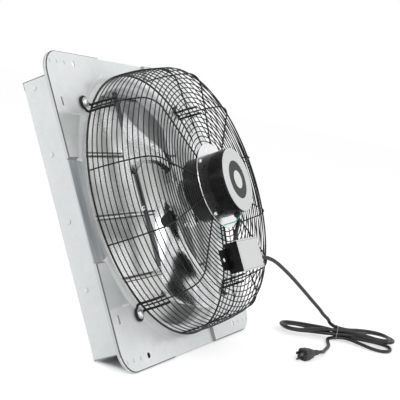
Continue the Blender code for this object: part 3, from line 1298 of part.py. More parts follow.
def make_cord():
    """The free stretch from the gland to the hank, the hank, and the tail from the hank to the plug."""
    tip = gland_place() + Vector((GAP + GLAND_FLANGE + GLAND_TAPER, 0, 0))
    start = on_floor(tip) + Vector((CORD_GAP, 0, 0))
    goal = Vector((*HANK_MIDDLE, 0))
    hank = hank_route()
    free = [start, start + Vector((CORD_RADIUS * 2, 0, 0))]
    free += [Vector((*start.xy.lerp(goal.xy, share), height)) for share, height in FREE_ROUTE]
    free += [onward_place(hank[-2], hank[-1]), hank[-1]]
    tail = [hank[0], onward_place(hank[1], hank[0]), *TAIL_ROUTE, plug_back(CORD_STEP), plug_back(0)]
    lengths = (("power_cord", ended(free, 0, CORD_GAP), CORD_STEP),
               ("cord_hank", ended(hank, 0, 0), HANK_STEP),
               ("cord_tail", ended(tail, CORD_GAP, CORD_GAP), CORD_STEP))
    for name, route, step in lengths:
        points = smooth_path(route, step)
        print(name, "lowest %.4f, least gap to itself %.4f, length %.3f" % tube_sizes(points, CORD_RADIUS))
        wire_curve(name, points, CORD_RADIUS, CORD_BLACK, None, resolution=1)


def make_twist_tie():
    """A thin closed loop about the waist."""
    middle, _, across = hank_frame()
    reach = CORD_RADIUS + TIE_GAP + TIE_RADIUS
    low = hank_place(middle, -1).z + HANK_CLIMB / 2 - reach
    high = low + len(HANK_LOBES) * HANK_CLIMB + 2 * reach
    wide = HANK_APART + reach - TIE_CORNER
    points = []
    for quarter, (side, height) in enumerate(((1, high - TIE_CORNER), (-1, high - TIE_CORNER),
                                              (-1, low + TIE_CORNER), (1, low + TIE_CORNER))):
        for step in range(TIE_CORNER_POINTS):
            turn = math.radians(90) * (quarter + step / (TIE_CORNER_POINTS - 1))
            flat = middle + across * (side * wide + TIE_CORNER * math.cos(turn))
            points.append((flat.x, flat.y, height + TIE_CORNER * math.sin(turn)))
    wire_curve("twist_tie", points, TIE_RADIUS, STEEL, None, closed=True, resolution=1)


def plug_back(away):
    """A place on the plug's axis, some way back from where the tail meets its boot."""
    back = PLUG_STATIONS[0][0] - away
    heading = Vector((math.cos(PLUG_HEADING), math.sin(PLUG_HEADING), 0))
    return Vector((*PLUG_PLACE, PLUG_AXIS_UP)) + heading * back


def plug_ring(form, along, half_width, half_height, squareness):
    """One section of the plug: a rounded square, more or less square."""
    ring = []
    for k in range(PLUG_SIDES):
        turn = math.tau * k / PLUG_SIDES
        shrink = (abs(math.cos(turn)) ** squareness + abs(math.sin(turn)) ** squareness) ** (-1 / squareness)
        ring.append(form.verts.new((along, half_width * shrink * math.cos(turn),
                                    half_height * shrink * math.sin(turn))))
    return ring


def make_plug():
    """A moulded plug with a tapered boot, two flat blades and a round pin in their pockets."""
    place = add_empty("plug_place", None, (*PLUG_PLACE, PLUG_AXIS_UP), (0, 0, PLUG_HEADING))
    form = bmesh.new()
    rings = [plug_ring(form, *station) for station in PLUG_STATIONS]
    for lower, upper in zip(rings, rings[1:]):
        for k in range(PLUG_SIDES):
            after = (k + 1) % PLUG_SIDES
            form.faces.new((lower[k], lower[after], upper[after], upper[k]))
    form.faces.new(rings[0])
    form.faces.new(rings[-1])
    body = add_object("plug_body", mesh_of("plug_body", form), CORD_BLACK, place)
    smooth(body)
    face = PLUG_STATIONS[-1][0]
    for k, side in enumerate((-1, 1)):
        low = Vector((face - PRONG_DEEP, side * PRONG_APART - PRONG_THICK / 2, PRONG_UP - PRONG_WIDTH / 2))
        high = Vector((face + PRONG_OUT, side * PRONG_APART + PRONG_THICK / 2, PRONG_UP + PRONG_WIDTH / 2))
        room = Vector((GAP, GAP, GAP))
        cut(body, span_box("pocket", low - room, high + room), place, "pocket_%d" % (k + 1))
        add_object("plug_blade_%d" % (k + 1), span_box("plug_blade", low, high), BRASS, place)
    start, end = Vector((face - PRONG_DEEP, 0, -PIN_DOWN)), Vector((face + PIN_OUT, 0, -PIN_DOWN))
    room = Vector((GAP, 0, 0))
    pocket = cylinder_mesh("pocket", PIN_RADIUS + GAP, start - room, end + room, SMALL_SIDES)
    cut(body, pocket, place, "pocket_3")
    pin = cylinder_mesh("plug_ground_pin", PIN_RADIUS, start, end, SMALL_SIDES)
    add_object("plug_ground_pin", pin, BRASS, place)


make_panel()
make_box()
make_louvers()
make_tie_bar()
make_guard()
make_guard_screws()
make_motor_plate()
make_motor_shell()
make_motor_bolts()
make_motor_face()
make_motor_inside()
make_fan()
make_junction_box()
make_junction_cover()
make_junction_bracket()
make_capacitor()
make_leads()
make_cord_gland()
make_cord()
make_twist_tie()
make_plug()
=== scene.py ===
"""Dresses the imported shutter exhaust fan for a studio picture.

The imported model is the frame. Each class here stands for one sub-assembly: it holds its sizes, makes its
finer meshes and gives every visible surface its finish. All places are in metres. The fan's own frame has its
origin at the middle of the panel's front face, X to the right, Y towards the louvers and Z up the panel;
`Stance` leans it back on the floor. Turned forms are made in the axis's frame: X to the right, Y up, Z out to
the room.
"""

from __future__ import annotations

import logging
import math
from dataclasses import dataclass, field
from enum import Enum
from functools import reduce
from typing import Callable, Sequence

import bmesh
import bpy
from bmesh.types import BMesh
from bpy.types import Curve, Material, Mesh, Node, NodeSocket, NodeTree, Object
from mathutils import Euler, Matrix, Vector

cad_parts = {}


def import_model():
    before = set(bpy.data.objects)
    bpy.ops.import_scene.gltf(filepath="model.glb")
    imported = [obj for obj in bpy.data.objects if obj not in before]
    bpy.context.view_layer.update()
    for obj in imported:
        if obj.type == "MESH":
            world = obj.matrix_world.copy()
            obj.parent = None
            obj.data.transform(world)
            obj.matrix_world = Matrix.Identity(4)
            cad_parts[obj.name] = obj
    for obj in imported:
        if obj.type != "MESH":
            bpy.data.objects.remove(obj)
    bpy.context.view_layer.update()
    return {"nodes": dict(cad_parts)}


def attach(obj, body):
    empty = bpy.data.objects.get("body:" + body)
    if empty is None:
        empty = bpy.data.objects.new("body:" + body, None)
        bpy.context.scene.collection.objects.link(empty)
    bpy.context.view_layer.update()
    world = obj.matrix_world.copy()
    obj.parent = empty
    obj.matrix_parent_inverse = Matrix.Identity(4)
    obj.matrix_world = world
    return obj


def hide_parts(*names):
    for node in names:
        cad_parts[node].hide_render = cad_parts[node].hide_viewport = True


Point = Sequence[float]
Pair = tuple[float, float]

LOG = logging.getLogger("shutter_fan")
WHITE = (1, 1, 1)
NOISE_BULK = (0.3, 0.7)
SMOOTH_BELOW = math.radians(35)
DISSOLVE_BELOW = math.radians(0.6)
BEVEL_ABOVE = math.radians(50)
WELD = 0.00002
FLAT_RATIO = 12.0
WIRE_SIDES = 8
HOOP_SIDES = 120


class Body(Enum):
    """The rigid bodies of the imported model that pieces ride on."""

    HOUSING = "housing"
    FAN = "fan"
    LOUVER_1 = "louver_1"
    LOUVER_2 = "louver_2"
    LOUVER_3 = "louver_3"
    LOUVER_4 = "louver_4"
    TIE_BAR = "tie_bar"


# Node trees


class Tree:
    """Adds nodes to one node tree and feeds their inputs."""

    def __init__(self, tree: NodeTree) -> None:
        """Keeps the tree that nodes are added to."""
        self.tree = tree

    def node(self, kind: str, settings: dict[str, object] | None = None, **values: object) -> Node:
        """Adds a node and sets or links its inputs.

        Args:
            kind: The node's type name.
            settings: Attributes of the node itself.
            **values: Input values or sockets, by input name with _ for a space.

        Returns:
            The new node.
        """
        node = self.tree.nodes.new(kind)
        for key, value in (settings or {}).items():
            setattr(node, key, value)
        for key, value in values.items():
            wanted = key.replace("_", " ")
            self.feed(next(s for s in node.inputs if s.name == wanted and s.enabled), value)
        return node

    def feed(self, socket: NodeSocket, value: object) -> None:
        """Links a socket to another node's output, or sets its plain value; a colour is red, green and blue."""
        if isinstance(value, NodeSocket):
            self.tree.links.new(value, socket)
        else:
            socket.default_value = (*value, 1) if socket.type == "RGBA" else value

    def fed(self, node: Node, *values: object) -> Node:
        """Feeds a node's first inputs in their order and returns it."""
        for socket, value in zip(node.inputs, values):
            self.feed(socket, value)
        return node

    def maths(self, operation: str, *values: object) -> NodeSocket:
        """Returns the result of one sum on one to three values."""
        return self.fed(self.node("ShaderNodeMath", {"operation": operation}), *values).outputs[0]

    def product(self, *values: object) -> NodeSocket:
        """Returns the product of all the values."""
        return reduce(lambda first, second: self.maths("MULTIPLY", first, second), values)

    def vector(self, x: object, y: object, z: object) -> NodeSocket:
        """Returns three values as one vector."""
        return self.node("ShaderNodeCombineXYZ", X=x, Y=y, Z=z).outputs[0]

    def apart(self, vector: NodeSocket) -> list[NodeSocket]:
        """Returns a vector's three values."""
        return list(self.node("ShaderNodeSeparateXYZ", Vector=vector).outputs)

    def span(self, value: NodeSocket, low: float, high: float, to_low: float = 0.0,
             to_high: float = 1.0) -> NodeSocket:
        """Returns a value mapped from the range low to high to another range, clamped."""
        return self.node("ShaderNodeMapRange", Value=value, From_Min=low, From_Max=high, To_Min=to_low,
                         To_Max=to_high).outputs["Result"]

    def seen(self) -> NodeSocket:
        """Returns 1 for what the camera sees, itself or in a reflection, and 0 for other light."""
        rays = self.node("ShaderNodeLightPath").outputs
        return self.maths("MAXIMUM", rays["Is Camera Ray"], rays["Is Glossy Ray"])


class Shader(Tree):
    """Builds one material's node tree, a node at a time."""

    def __init__(self, name: str) -> None:
        """Starts an empty material.

        Args:
            name: The material's name.
        """
        self.material = bpy.data.materials.new(name)
        self.material.use_nodes = True
        super().__init__(self.material.node_tree)
        self.tree.nodes.clear()

    def whole(self) -> NodeSocket:
        """Returns the Object coordinates."""
        return self.node("ShaderNodeTexCoord").outputs["Object"]

    def scaled(self, vector: NodeSocket, scale: Point = (1, 1, 1)) -> NodeSocket:
        """Returns coordinates stretched along each axis."""
        return self.node("ShaderNodeMapping", Vector=vector, Scale=scale).outputs["Vector"]

    def noise(self, vector: NodeSocket, scale: float, detail: float = 3, roughness: float = 0.5) -> NodeSocket:
        """Returns a noise at a vector, by its scale per metre, its octaves and how strongly they add."""
        return self.node("ShaderNodeTexNoise", Vector=vector, Scale=scale, Detail=detail,
                         Roughness=roughness).outputs["Fac"]

    def tint(self, share: NodeSocket, first: Point | NodeSocket, second: Point | NodeSocket) -> NodeSocket:
        """Returns a mix of two colours with a share of the second."""
        return self.node("ShaderNodeMix", {"data_type": "RGBA"}, Factor=share, A=first, B=second).outputs[2]

    def bump(self, height: NodeSocket, distance: float, strength: float, **others: NodeSocket) -> NodeSocket:
        """Returns the normal of a height from 0 to 1, where 1 is a distance; it may build on another Normal."""
        return self.node("ShaderNodeBump", Height=height, Distance=distance, Strength=strength,
                         **others).outputs["Normal"]

    def ended(self, shader: NodeSocket) -> Material:
        """Ends the tree in a shader and returns the material."""
        self.node("ShaderNodeOutputMaterial", Surface=shader)
        return self.material

    def surface(self, **values: object) -> Material:
        """Ends the tree in a Principled shader; its inputs are given by name, with _ for a space."""
        return self.ended(self.node("ShaderNodeBsdfPrincipled", **values).outputs[0])


# Where the fan stands


AXIS_TURN = Euler((math.pi / 2, 0, 0)).to_matrix().to_4x4()


@dataclass(frozen=True)
class Stance:
    """How the fan leans on the floor."""

    lean: float = math.radians(28.05292)
    back: float = 0.0186684
    up: float = 0.2861666

    def matrix(self) -> Matrix:
        """Returns the turn and move from the fan's own frame to the floor's."""
        return Matrix.Translation((0, self.back, self.up)) @ Euler((-self.lean, 0, 0)).to_matrix().to_4x4()

    def axis(self) -> Matrix:
        """Returns the turn and move from the axis's frame to the floor's."""
        return self.matrix() @ AXIS_TURN

    def own(self) -> Matrix:
        """Returns the turn and move from the floor's frame to the fan's own."""
        return self.matrix().inverted()


# Finishes


@dataclass(frozen=True)
class GalvanisedSheet:
    """Zinc-coated sheet with a faint spangle and a cloudy sheen.

    With a stance it is the panel's, and its recesses, slopes and pressed marks are drawn too: painted shade on all
    three, streaked painted reflection in the recesses and a painted highlight line at the end of each of the slopes.
    """

    name: str = "galvanised_sheet"
    light: Point = (0.87, 0.89, 0.89)
    dark: Point = (0.77, 0.80, 0.805)
    metallic: float = 0.55
    stance: Stance | None = None
    spangle_per_metre: float = 95.0
    spangle_share: float = 0.35
    cloud: Point = (7, 4, 0.6)
    roughness: Pair = (0.34, 0.50)
    grain_per_metre: float = 900
    grain_depth: float = 0.00012
    grain_strength: float = 0.35
    marks: Sequence[Pair] = ((0.102, 0.297), (0.248, 0.297), (0.276, 0.297), (0.301, 0.297))
    # Painted shade in the pressed marks
    mark_painted_shade_colour: Point = (0.36, 0.38, 0.38)
    mark_shade_share: float = 0.55
    mark_radii: Pair = (0.0028 * 0.6, 0.0028)
    mark_squash: float = 0.5
    mark_depth: float = -0.0006
    mark_strength: float = 0.5
    recess_depths: Pair = (0.003, 0.0055)
    recess_reach: Pair = (0.281, 0.288)
    recess_side: Pair = (0.262, 0.270)
    # Painted shade of the side recesses, with streaked painted reflection
    recess_painted_shade_colours: tuple[Point, Point] = ((0.60, 0.64, 0.65), (0.38, 0.42, 0.44))
    painted_reflection_streaks: Point = (90, 90, 7)
    streak_range: Pair = (0.35, 0.65)
    slope_rise: Pair = (0.112, 0.150)
    slope_end: Pair = (0.189, 0.195)
    slope_inner: Pair = (0.303, 0.308)
    slope_shade_share: float = 0.7
    # Painted shade of the slopes and the painted highlight line at their ends
    slope_shade_and_highlight_colours: tuple[Point, Point] = ((0.60, 0.65, 0.64), (0.97, 0.98, 0.98))
    highlight_line_side: Pair = (0.262, 0.272)
    highlight_line_ends: tuple[Pair, Pair] = ((0.189, 0.190), (0.193, 0.194))

    def drawn(self, s: Shader, colour: NodeSocket, normal: NodeSocket) -> tuple[NodeSocket, NodeSocket]:
        """Draws the painted shade, reflection and highlight that have a place on the panel; each is the same in all
        four corners.

        Args:
            s: The material's tree.
            colour: The colour so far.
            normal: The normal so far.

        Returns:
            The colour and the normal.
        """
        back = self.stance.own()
        own = s.node("ShaderNodeMapping", Vector=s.whole(), Rotation=back.to_euler(),
                     Location=back.translation).outputs["Vector"]
        x, depth, z = s.apart(own)
        from_axis = s.maths("SQRT", s.maths("ADD", s.product(x, x), s.product(z, z)))
        across, up = s.maths("ABSOLUTE", x), s.maths("ABSOLUTE", z)

        # The recesses of the left and the right side, in painted shade with streaked painted reflection
        painted_reflection_streaks = s.span(s.noise(s.scaled(own, self.painted_reflection_streaks), 1), *self.streak_range)
        sunk = s.product(s.span(depth, *self.recess_depths), s.span(across, *self.recess_side),
                         s.span(from_axis, *self.recess_reach))
        colour = s.tint(sunk, colour, s.tint(painted_reflection_streaks, *self.recess_painted_shade_colours))

        # The slopes from those recesses to the corners in painted shade, and the painted highlight line that ends
        # each
        shade, light = self.slope_shade_and_highlight_colours
        outer = s.span(from_axis, *self.slope_inner)
        painted_slope_shade = s.product(s.span(up, *self.slope_rise), s.span(up, *self.slope_end, 1, 0), outer, self.slope_shade_share)
        colour = s.tint(painted_slope_shade, colour, shade)
        start, end = self.highlight_line_ends
        line = s.product(s.span(up, *start), s.span(up, *end, 1, 0), s.span(across, *self.highlight_line_side, 1, 0), outer)
        colour = s.tint(line, colour, light)

        # The pressed marks: a bump relief, darkened with painted shade
        flat = s.vector(across, 0.0, s.product(up, self.mark_squash))
        share = 0.0
        for right, top in self.marks:
            gap = s.fed(s.node("ShaderNodeVectorMath", {"operation": "DISTANCE"}), flat,
                        (right, 0, top * self.mark_squash))
            share = s.maths("MAXIMUM", share, s.span(gap.outputs["Value"], *self.mark_radii, 1, 0))
        colour = s.tint(s.span(share, 0, 1, 0, self.mark_shade_share), colour, self.mark_painted_shade_colour)
        return colour, s.bump(share, self.mark_depth, self.mark_strength, Normal=normal)

    def build(self) -> Material:
        """Returns the material."""
        s = Shader(self.name)
        place = s.scaled(s.whole())
        cells = s.node("ShaderNodeTexVoronoi", Vector=place, Scale=self.spangle_per_metre).outputs["Color"]
        spangle = s.node("ShaderNodeSeparateColor", Color=cells).outputs[0]
        both = s.maths("ADD", s.span(spangle, 0, 1, 0, self.spangle_share),
                       s.span(s.noise(place, *self.cloud), *NOISE_BULK, 0, 1 - self.spangle_share))
        colour = s.tint(both, self.light, self.dark)
        normal = s.bump(s.noise(place, self.grain_per_metre, 2), self.grain_depth, self.grain_strength)
        if self.stance:
            colour, normal = self.drawn(s, colour, normal)
        return s.surface(Base_Color=colour, Metallic=self.metallic, Roughness=s.span(both, 0, 1, *self.roughness),
                         Normal=normal)


@dataclass(frozen=True)
class Coat:
    """A finish whose colour and roughness follow one noise, over a fine relief.

    A noise is given by its scale per metre, its octaves and how strongly they add. Without a relief of its own the
    finish is raised by the first noise.
    """

    name: str
    light: Point
    dark: Point
    roughness: float
    cloud: Point = (60, 4, 0.6)
    cloud_stretch: Point = (1, 1, 1)
    shares: Pair = (0.45, 0.75)
    roughness_span: Pair = (0.0, 0.15)
    relief: Point | None = None
    relief_stretch: Point = (1, 1, 1)
    depth: float = 0.00006
    strength: float = 0.5
    metallic: float = 0.0
    specular: float = 0.5

    def build(self) -> Material:
        """Returns the material."""
        s = Shader(self.name)
        cloud = s.noise(s.scaled(s.whole(), self.cloud_stretch), *self.cloud)
        relief = s.noise(s.scaled(s.whole(), self.relief_stretch), *self.relief) if self.relief else cloud
        roughness = s.span(cloud, *NOISE_BULK, *(self.roughness + more for more in self.roughness_span))
        return s.surface(Base_Color=s.tint(s.span(cloud, *self.shares), self.light, self.dark),
                         Metallic=self.metallic, Roughness=roughness, Specular_IOR_Level=self.specular,
                         Normal=s.bump(relief, self.depth, self.strength))


@dataclass(frozen=True)
class MillAluminium(Coat):
    """Rolled aluminium: fine drawn lines and soft blotches."""

    name: str = "mill_aluminium"
    light: Point = (0.90, 0.91, 0.92)
    dark: Point = (0.78, 0.79, 0.80)
    roughness: float = 0.24
    cloud: Point = (14, 3, 0.5)
    shares: Pair = (0.35, 0.7)
    roughness_span: Pair = (-0.05, 0.08)
    relief: Point = (1, 2)
    relief_stretch: Point = (1500, 60, 60)
    depth: float = 0.00002
    strength: float = 0.3
    metallic: float = 1.0


@dataclass(frozen=True)
class LouverAluminium(MillAluminium):
    """Bright rolled aluminium with soft grey patches."""

    name: str = "louver_aluminium"
    light: Point = (0.99, 0.99, 0.985)
    dark: Point = (0.68, 0.71, 0.67)
    roughness: float = 0.22
    cloud: Point = (9, 2, 0.45)
    cloud_stretch: Point = (1, 1, 0.55)
    shares: Pair = (0.42, 0.68)
    roughness_span: Pair = (0.0, 0.12)
    relief_stretch: Point = (40, 900, 900)
    depth: float = 0.00003
    metallic: float = 0.92


@dataclass(frozen=True)
class BlackEnamel(Coat):
    """Black baked enamel with a faint orange peel."""

    cloud: Point = (45, 3, 0.5)
    roughness_span: Pair = (0.0, 0.12)
    relief: Point = (650, 2)
    depth: float = 0.00002
    strength: float = 0.4
    specular: float = 0.25


@dataclass(frozen=True)
class SandEnamel(Coat):
    """Enamel with a fine sandy grain."""

    roughness: float = 0.45
    cloud: Point = (850, 3, 0.7)
    shares: Pair = (0.42, 0.66)
    roughness_span: Pair = (0.0, 0.17)
    depth: float = 0.00025
    strength: float = 0.7
    metallic: float = 0.25


@dataclass(frozen=True)
class BrightMetal(Coat):
    """Plated or plain metal with fine scuffs."""

    cloud: Point = (420, 4, 0.7)
    shares: Pair = (0.4, 0.7)
    roughness_span: Pair = (0.0, 0.16)
    depth: float = 0.00008
    strength: float = 0.4
    metallic: float = 1.0


@dataclass(frozen=True)
class Vinyl(Coat):
    """Soft PVC of a cord or a moulded plug."""

    relief: Point = (1100, 2)


@dataclass(frozen=True)
class Copper(Coat):
    """Varnished copper windings, wound in fine lines."""

    name: str = "winding_copper"
    light: Point = (0.62, 0.30, 0.14)
    dark: Point = (0.45, 0.20, 0.09)
    roughness: float = 0.4
    cloud: Point = (1, 2)
    cloud_stretch: Point = (60, 60, 1800)
    shares: Pair = (0.0, 1.0)
    roughness_span: Pair = (0.0, 0.0)
    depth: float = 0.0001
    metallic: float = 0.9


class Finishes:
    """Every finish of the fan, built once."""

    def __init__(self, stance: Stance) -> None:
        """Builds the materials.

        Args:
            stance: How the fan stands.
        """
        self.sheet = GalvanisedSheet(stance=stance).build()
        self.box_sheet = GalvanisedSheet("box_sheet", (0.72, 0.745, 0.75), (0.65, 0.675, 0.68), 0.4).build()
        # A lighter copy of the sheet: painted reflection on the bell's inner faces
        self.painted_mouth_reflection = GalvanisedSheet("mouth_sheet", (0.96, 0.98, 0.98), (0.90, 0.93, 0.93), 0.5).build()
        # A darker copy of the sheet: painted shade on the panel's lip
        self.lip = GalvanisedSheet("lip_sheet", (0.58, 0.60, 0.61), (0.52, 0.54, 0.55), 0.4).build()
        self.plate = MillAluminium("plate_zinc", (0.88, 0.89, 0.90), roughness=0.20,
                                   relief_stretch=(300, 300, 300)).build()
        self.blade = MillAluminium("blade_aluminium", roughness=0.16, depth=0.000005).build()
        self.hub = MillAluminium("hub_aluminium", (0.93, 0.94, 0.94), (0.84, 0.85, 0.86), 0.30, metallic=0.6).build()
        self.louver = LouverAluminium().build()
        # A dark sheet put where folds lie in shade: painted shade
        self.bend = SandEnamel("bend_shade", (0.10, 0.105, 0.105), (0.07, 0.075, 0.075)).build()
        # A dark sheet put in creases and folds: painted shade
        self.seam = SandEnamel("seam_shade", (0.34, 0.35, 0.35), (0.26, 0.27, 0.27)).build()
        self.guard = BlackEnamel("guard_enamel", (0.007, 0.007, 0.008), (0.014, 0.014, 0.015), 0.36).build()
        self.motor = BlackEnamel("motor_enamel", (0.004, 0.004, 0.005), (0.007, 0.007, 0.008), 0.16).build()
        self.spider = BlackEnamel("spider_enamel", (0.010, 0.010, 0.011), (0.018, 0.018, 0.019), 0.38).build()
        self.recess = SandEnamel("recess_enamel", (0.035, 0.035, 0.036), (0.012, 0.012, 0.013)).build()
        self.face = SandEnamel("face_enamel", (0.78, 0.79, 0.79), (0.62, 0.63, 0.63)).build()
        self.cover = SandEnamel("cover_enamel", (0.78, 0.785, 0.79), (0.69, 0.695, 0.70), cloud=(600, 3, 0.7)).build()
        self.cap = BrightMetal("cap_steel", (0.80, 0.80, 0.78), (0.62, 0.62, 0.60), 0.30).build()
        # Darker steel for the tie bar: painted shade on its side
        self.bar = BrightMetal("bar_steel", (0.24, 0.25, 0.26), (0.16, 0.17, 0.18), 0.38).build()
        self.screw = BrightMetal("bright_zinc", (0.86, 0.87, 0.87), (0.66, 0.67, 0.68), 0.26).build()
        self.steel = BrightMetal("plain_steel", (0.66, 0.67, 0.68), (0.48, 0.49, 0.50), 0.34).build()
        self.brass = BrightMetal("plug_brass", (0.17, 0.165, 0.15), (0.10, 0.10, 0.09), 0.34).build()
        self.vinyl = Vinyl("black_vinyl", (0.010, 0.010, 0.011), (0.020, 0.020, 0.021), 0.34).build()
        self.plug = Vinyl("plug_vinyl", (0.022, 0.022, 0.024), (0.055, 0.055, 0.057), 0.48).build()
        self.earth = Vinyl("earth_green", (0.03, 0.40, 0.26), (0.05, 0.50, 0.33), 0.4).build()
        self.tie = Vinyl("tie_vinyl", (0.55, 0.55, 0.54), (0.70, 0.70, 0.69), 0.45).build()
        self.copper = Copper().build()
        self.shell = Vinyl("capacitor_shell", (0.10, 0.10, 0.11), (0.14, 0.14, 0.15), 0.5).build()


# Meshes


def reach(place: Vector) -> float:
    """Returns how far a place of the fan's own frame is from the axis."""
    return math.hypot(place.x, place.z)


def numbered(name: str, count: int) -> list[str]:
    """Returns the names of numbered nodes, from 1."""
    return ["%s_%d" % (name, k) for k in range(1, count + 1)]


def linked(item: Object) -> Object:
    """Links an object to the scene and returns it."""
    bpy.context.scene.collection.objects.link(item)
    return item


def form_of(mesh: Mesh) -> BMesh:
    """Returns a form with a mesh's faces."""
    form = bmesh.new()
    form.from_mesh(mesh)
    return form


def mesh_of(name: str, form: BMesh) -> Mesh:
    """Returns a form as a mesh; the form is freed."""
    mesh = bpy.data.meshes.new(name)
    form.to_mesh(mesh)
    form.free()
    return mesh


def smooth_mesh(name: str, form: BMesh) -> Mesh:
    """Returns a form as a mesh of one finish that is smooth but for its edges; the form is freed."""
    mesh = mesh_of(name, form)
    mesh.materials.clear()
    mesh.shade_smooth()
    mesh.set_sharp_from_angle(angle=SMOOTH_BELOW)
    return mesh


def plain(form: BMesh, name: str) -> Object:
    """Returns an unshown object that holds a form; the form is freed."""
    return bpy.data.objects.new(name, mesh_of(name, form))


def poly_curve(points: Sequence[Point], name: str) -> Curve:
    """Returns one open curve of straight lengths."""
    curve = bpy.data.curves.new(name, "CURVE")
    curve.dimensions = "3D"
    spline = curve.splines.new("POLY")
    spline.points.add(len(points) - 1)
    for point, place in zip(spline.points, points):
        point.co = (*place, 1)
    return curve


def path(points: Sequence[Point], name: str) -> Object:
    """Returns an unshown object that holds one open path."""
    return bpy.data.objects.new(name, poly_curve(points, name))


def evaluated(item: Object) -> Mesh:
    """Returns a new mesh of an object as its modifiers leave it."""
    return bpy.data.meshes.new_from_object(item.evaluated_get(bpy.context.evaluated_depsgraph_get()))


def merged(first: BMesh, *others: BMesh) -> BMesh:
    """Returns all the forms as one; the others are freed."""
    for other in others:
        mesh = mesh_of("part", other)
        first.from_mesh(mesh)
        bpy.data.meshes.remove(mesh)
    return first


def lathe(profile: Sequence[Pair], steps: int) -> BMesh:
    """Turns a profile round the axis.

    Args:
        profile: The (radius, out) pairs. A profile that ends on the axis is closed there, and any other is a
            closed loop.
        steps: The facets of one turn.

    Returns:
        A closed form.
    """
    form = bmesh.new()
    loop = profile[0][0] > 0 or profile[-1][0] > 0
    columns = []
    for radius, out in profile:
        if radius == 0:
            columns.append([form.verts.new((0, 0, out))] * steps)
            continue
        turns = (math.tau * k / steps for k in range(steps))
        columns.append([form.verts.new((radius * math.cos(turn), radius * math.sin(turn), out)) for turn in turns])
    for near, far in zip(columns, columns[1:] + (columns[:1] if loop else [])):
        for k in range(steps):
            after = (k + 1) % steps
            unique = list(dict.fromkeys((near[k], near[after], far[after], far[k])))
            if len(unique) > 2:
                form.faces.new(unique)
    bmesh.ops.recalc_face_normals(form, faces=form.faces)
    return form


@dataclass(frozen=True)
class Screw:
    """A pan head screw with a cross in its head, its seat at 0."""

    head: float
    height: float
    shank: float
    length: float
    washer: Pair | None = None
    washer_edge: float = 0.2
    dome: Sequence[Pair] = ((0, 0), (0.50, 0.04), (0.80, 0.22), (0.95, 0.50), (1, 0.8))
    skirt: Sequence[Pair] = ((1, 0.08), (0.97, 0))
    cross: Point = (1.05, 0.24, 0.9)
    facets: int = 32

    def profile(self) -> list[Pair]:
        """Returns the (radius, out) pairs from the head's top to the shank's end."""
        low = self.washer[1] if self.washer else 0
        top = low + self.height
        pairs = [(self.head * share, top - self.height * drop) for share, drop in self.dome]
        pairs += [(self.head * share, low + self.height * rise) for share, rise in self.skirt]
        if self.washer:
            radius, rim = self.washer[0], low * self.washer_edge
            pairs += [(radius - rim, low), (radius, low - rim), (radius, rim), (radius - rim, 0)]
        return [*pairs, (self.shank, 0), (self.shank, -self.length), (0, -self.length)]

    def build(self, name: str) -> Object:
        """Returns an unshown object of that name that holds the screw."""
        profile = self.profile()
        item = linked(plain(lathe(profile, self.facets), name))
        slots = bmesh.new()
        for turn in (0, math.pi / 2):
            size = Matrix.Diagonal((*(self.head * share for share in self.cross[:2]), self.height * self.cross[2], 1))
            place = Matrix.Translation((0, 0, profile[0][1])) @ Matrix.Rotation(turn, 4, "Z") @ size
            bmesh.ops.create_cube(slots, size=1, matrix=place)
        cutter = linked(plain(slots, name + "_cross"))
        modifier = item.modifiers.new("cross", "BOOLEAN")
        modifier.object = cutter
        modifier.operation = "DIFFERENCE"
        modifier.solver = "EXACT"
        modifier.use_self = True
        mesh = evaluated(item)
        for piece in (item, cutter):
            bpy.data.objects.remove(piece)
        return bpy.data.objects.new(name, mesh)


# Repeated forms


class Repeat(Tree):
    """A geometry node tree that repeats its input, with its sizes as named inputs."""

    KINDS = {int: "NodeSocketInt", float: "NodeSocketFloat"}

    def __init__(self, name: str, finish: Material, **sizes: float) -> None:
        """Starts a tree.

        Args:
            name: The tree's name.
            finish: The material of what it makes.
            **sizes: Its inputs' values, by name with _ for a space.
        """
        super().__init__(bpy.data.node_groups.new(name, "GeometryNodeTree"))
        self.name = name
        face = self.tree.interface
        face.new_socket("Geometry", in_out="INPUT", socket_type="NodeSocketGeometry")
        self.values = {}
        for key, value in {**sizes, "Finish": finish}.items():
            kind = self.KINDS.get(type(value), "NodeSocketMaterial")
            socket = face.new_socket(key.replace("_", " "), in_out="INPUT", socket_type=kind)
            self.values[socket.identifier] = value
        face.new_socket("Geometry", in_out="OUTPUT", socket_type="NodeSocketGeometry")
        self.given = self.tree.nodes.new("NodeGroupInput").outputs

    def wire(self, curve: NodeSocket, radius: NodeSocket) -> NodeSocket:
        """Returns curves as round wires with closed ends."""
        real = self.node("GeometryNodeRealizeInstances", Geometry=curve).outputs[0]
        section = self.node("GeometryNodeCurvePrimitiveCircle", Resolution=WIRE_SIDES, Radius=radius).outputs[0]
        return self.node("GeometryNodeCurveToMesh", Curve=real, Profile_Curve=section, Fill_Caps=True).outputs[0]

    def made(self, result: NodeSocket, base: Object) -> BMesh:
        """Runs the tree on a base object, which it removes.

        Args:
            result: The geometry that the tree makes.
            base: The object whose geometry goes in.

        Returns:
            The result as a plain form.
        """
        real = self.node("GeometryNodeRealizeInstances", Geometry=result).outputs[0]
        painted = self.node("GeometryNodeSetMaterial", Geometry=real, Material=self.given["Finish"]).outputs[0]
        self.tree.links.new(painted, self.tree.nodes.new("NodeGroupOutput").inputs[0])
        modifier = linked(base).modifiers.new(self.name, "NODES")
        modifier.node_group = self.tree
        for identifier, value in self.values.items():
            modifier[identifier] = value
        mesh = evaluated(base)
        bpy.data.objects.remove(base)
        form = form_of(mesh)
        bpy.data.meshes.remove(mesh)
        return form


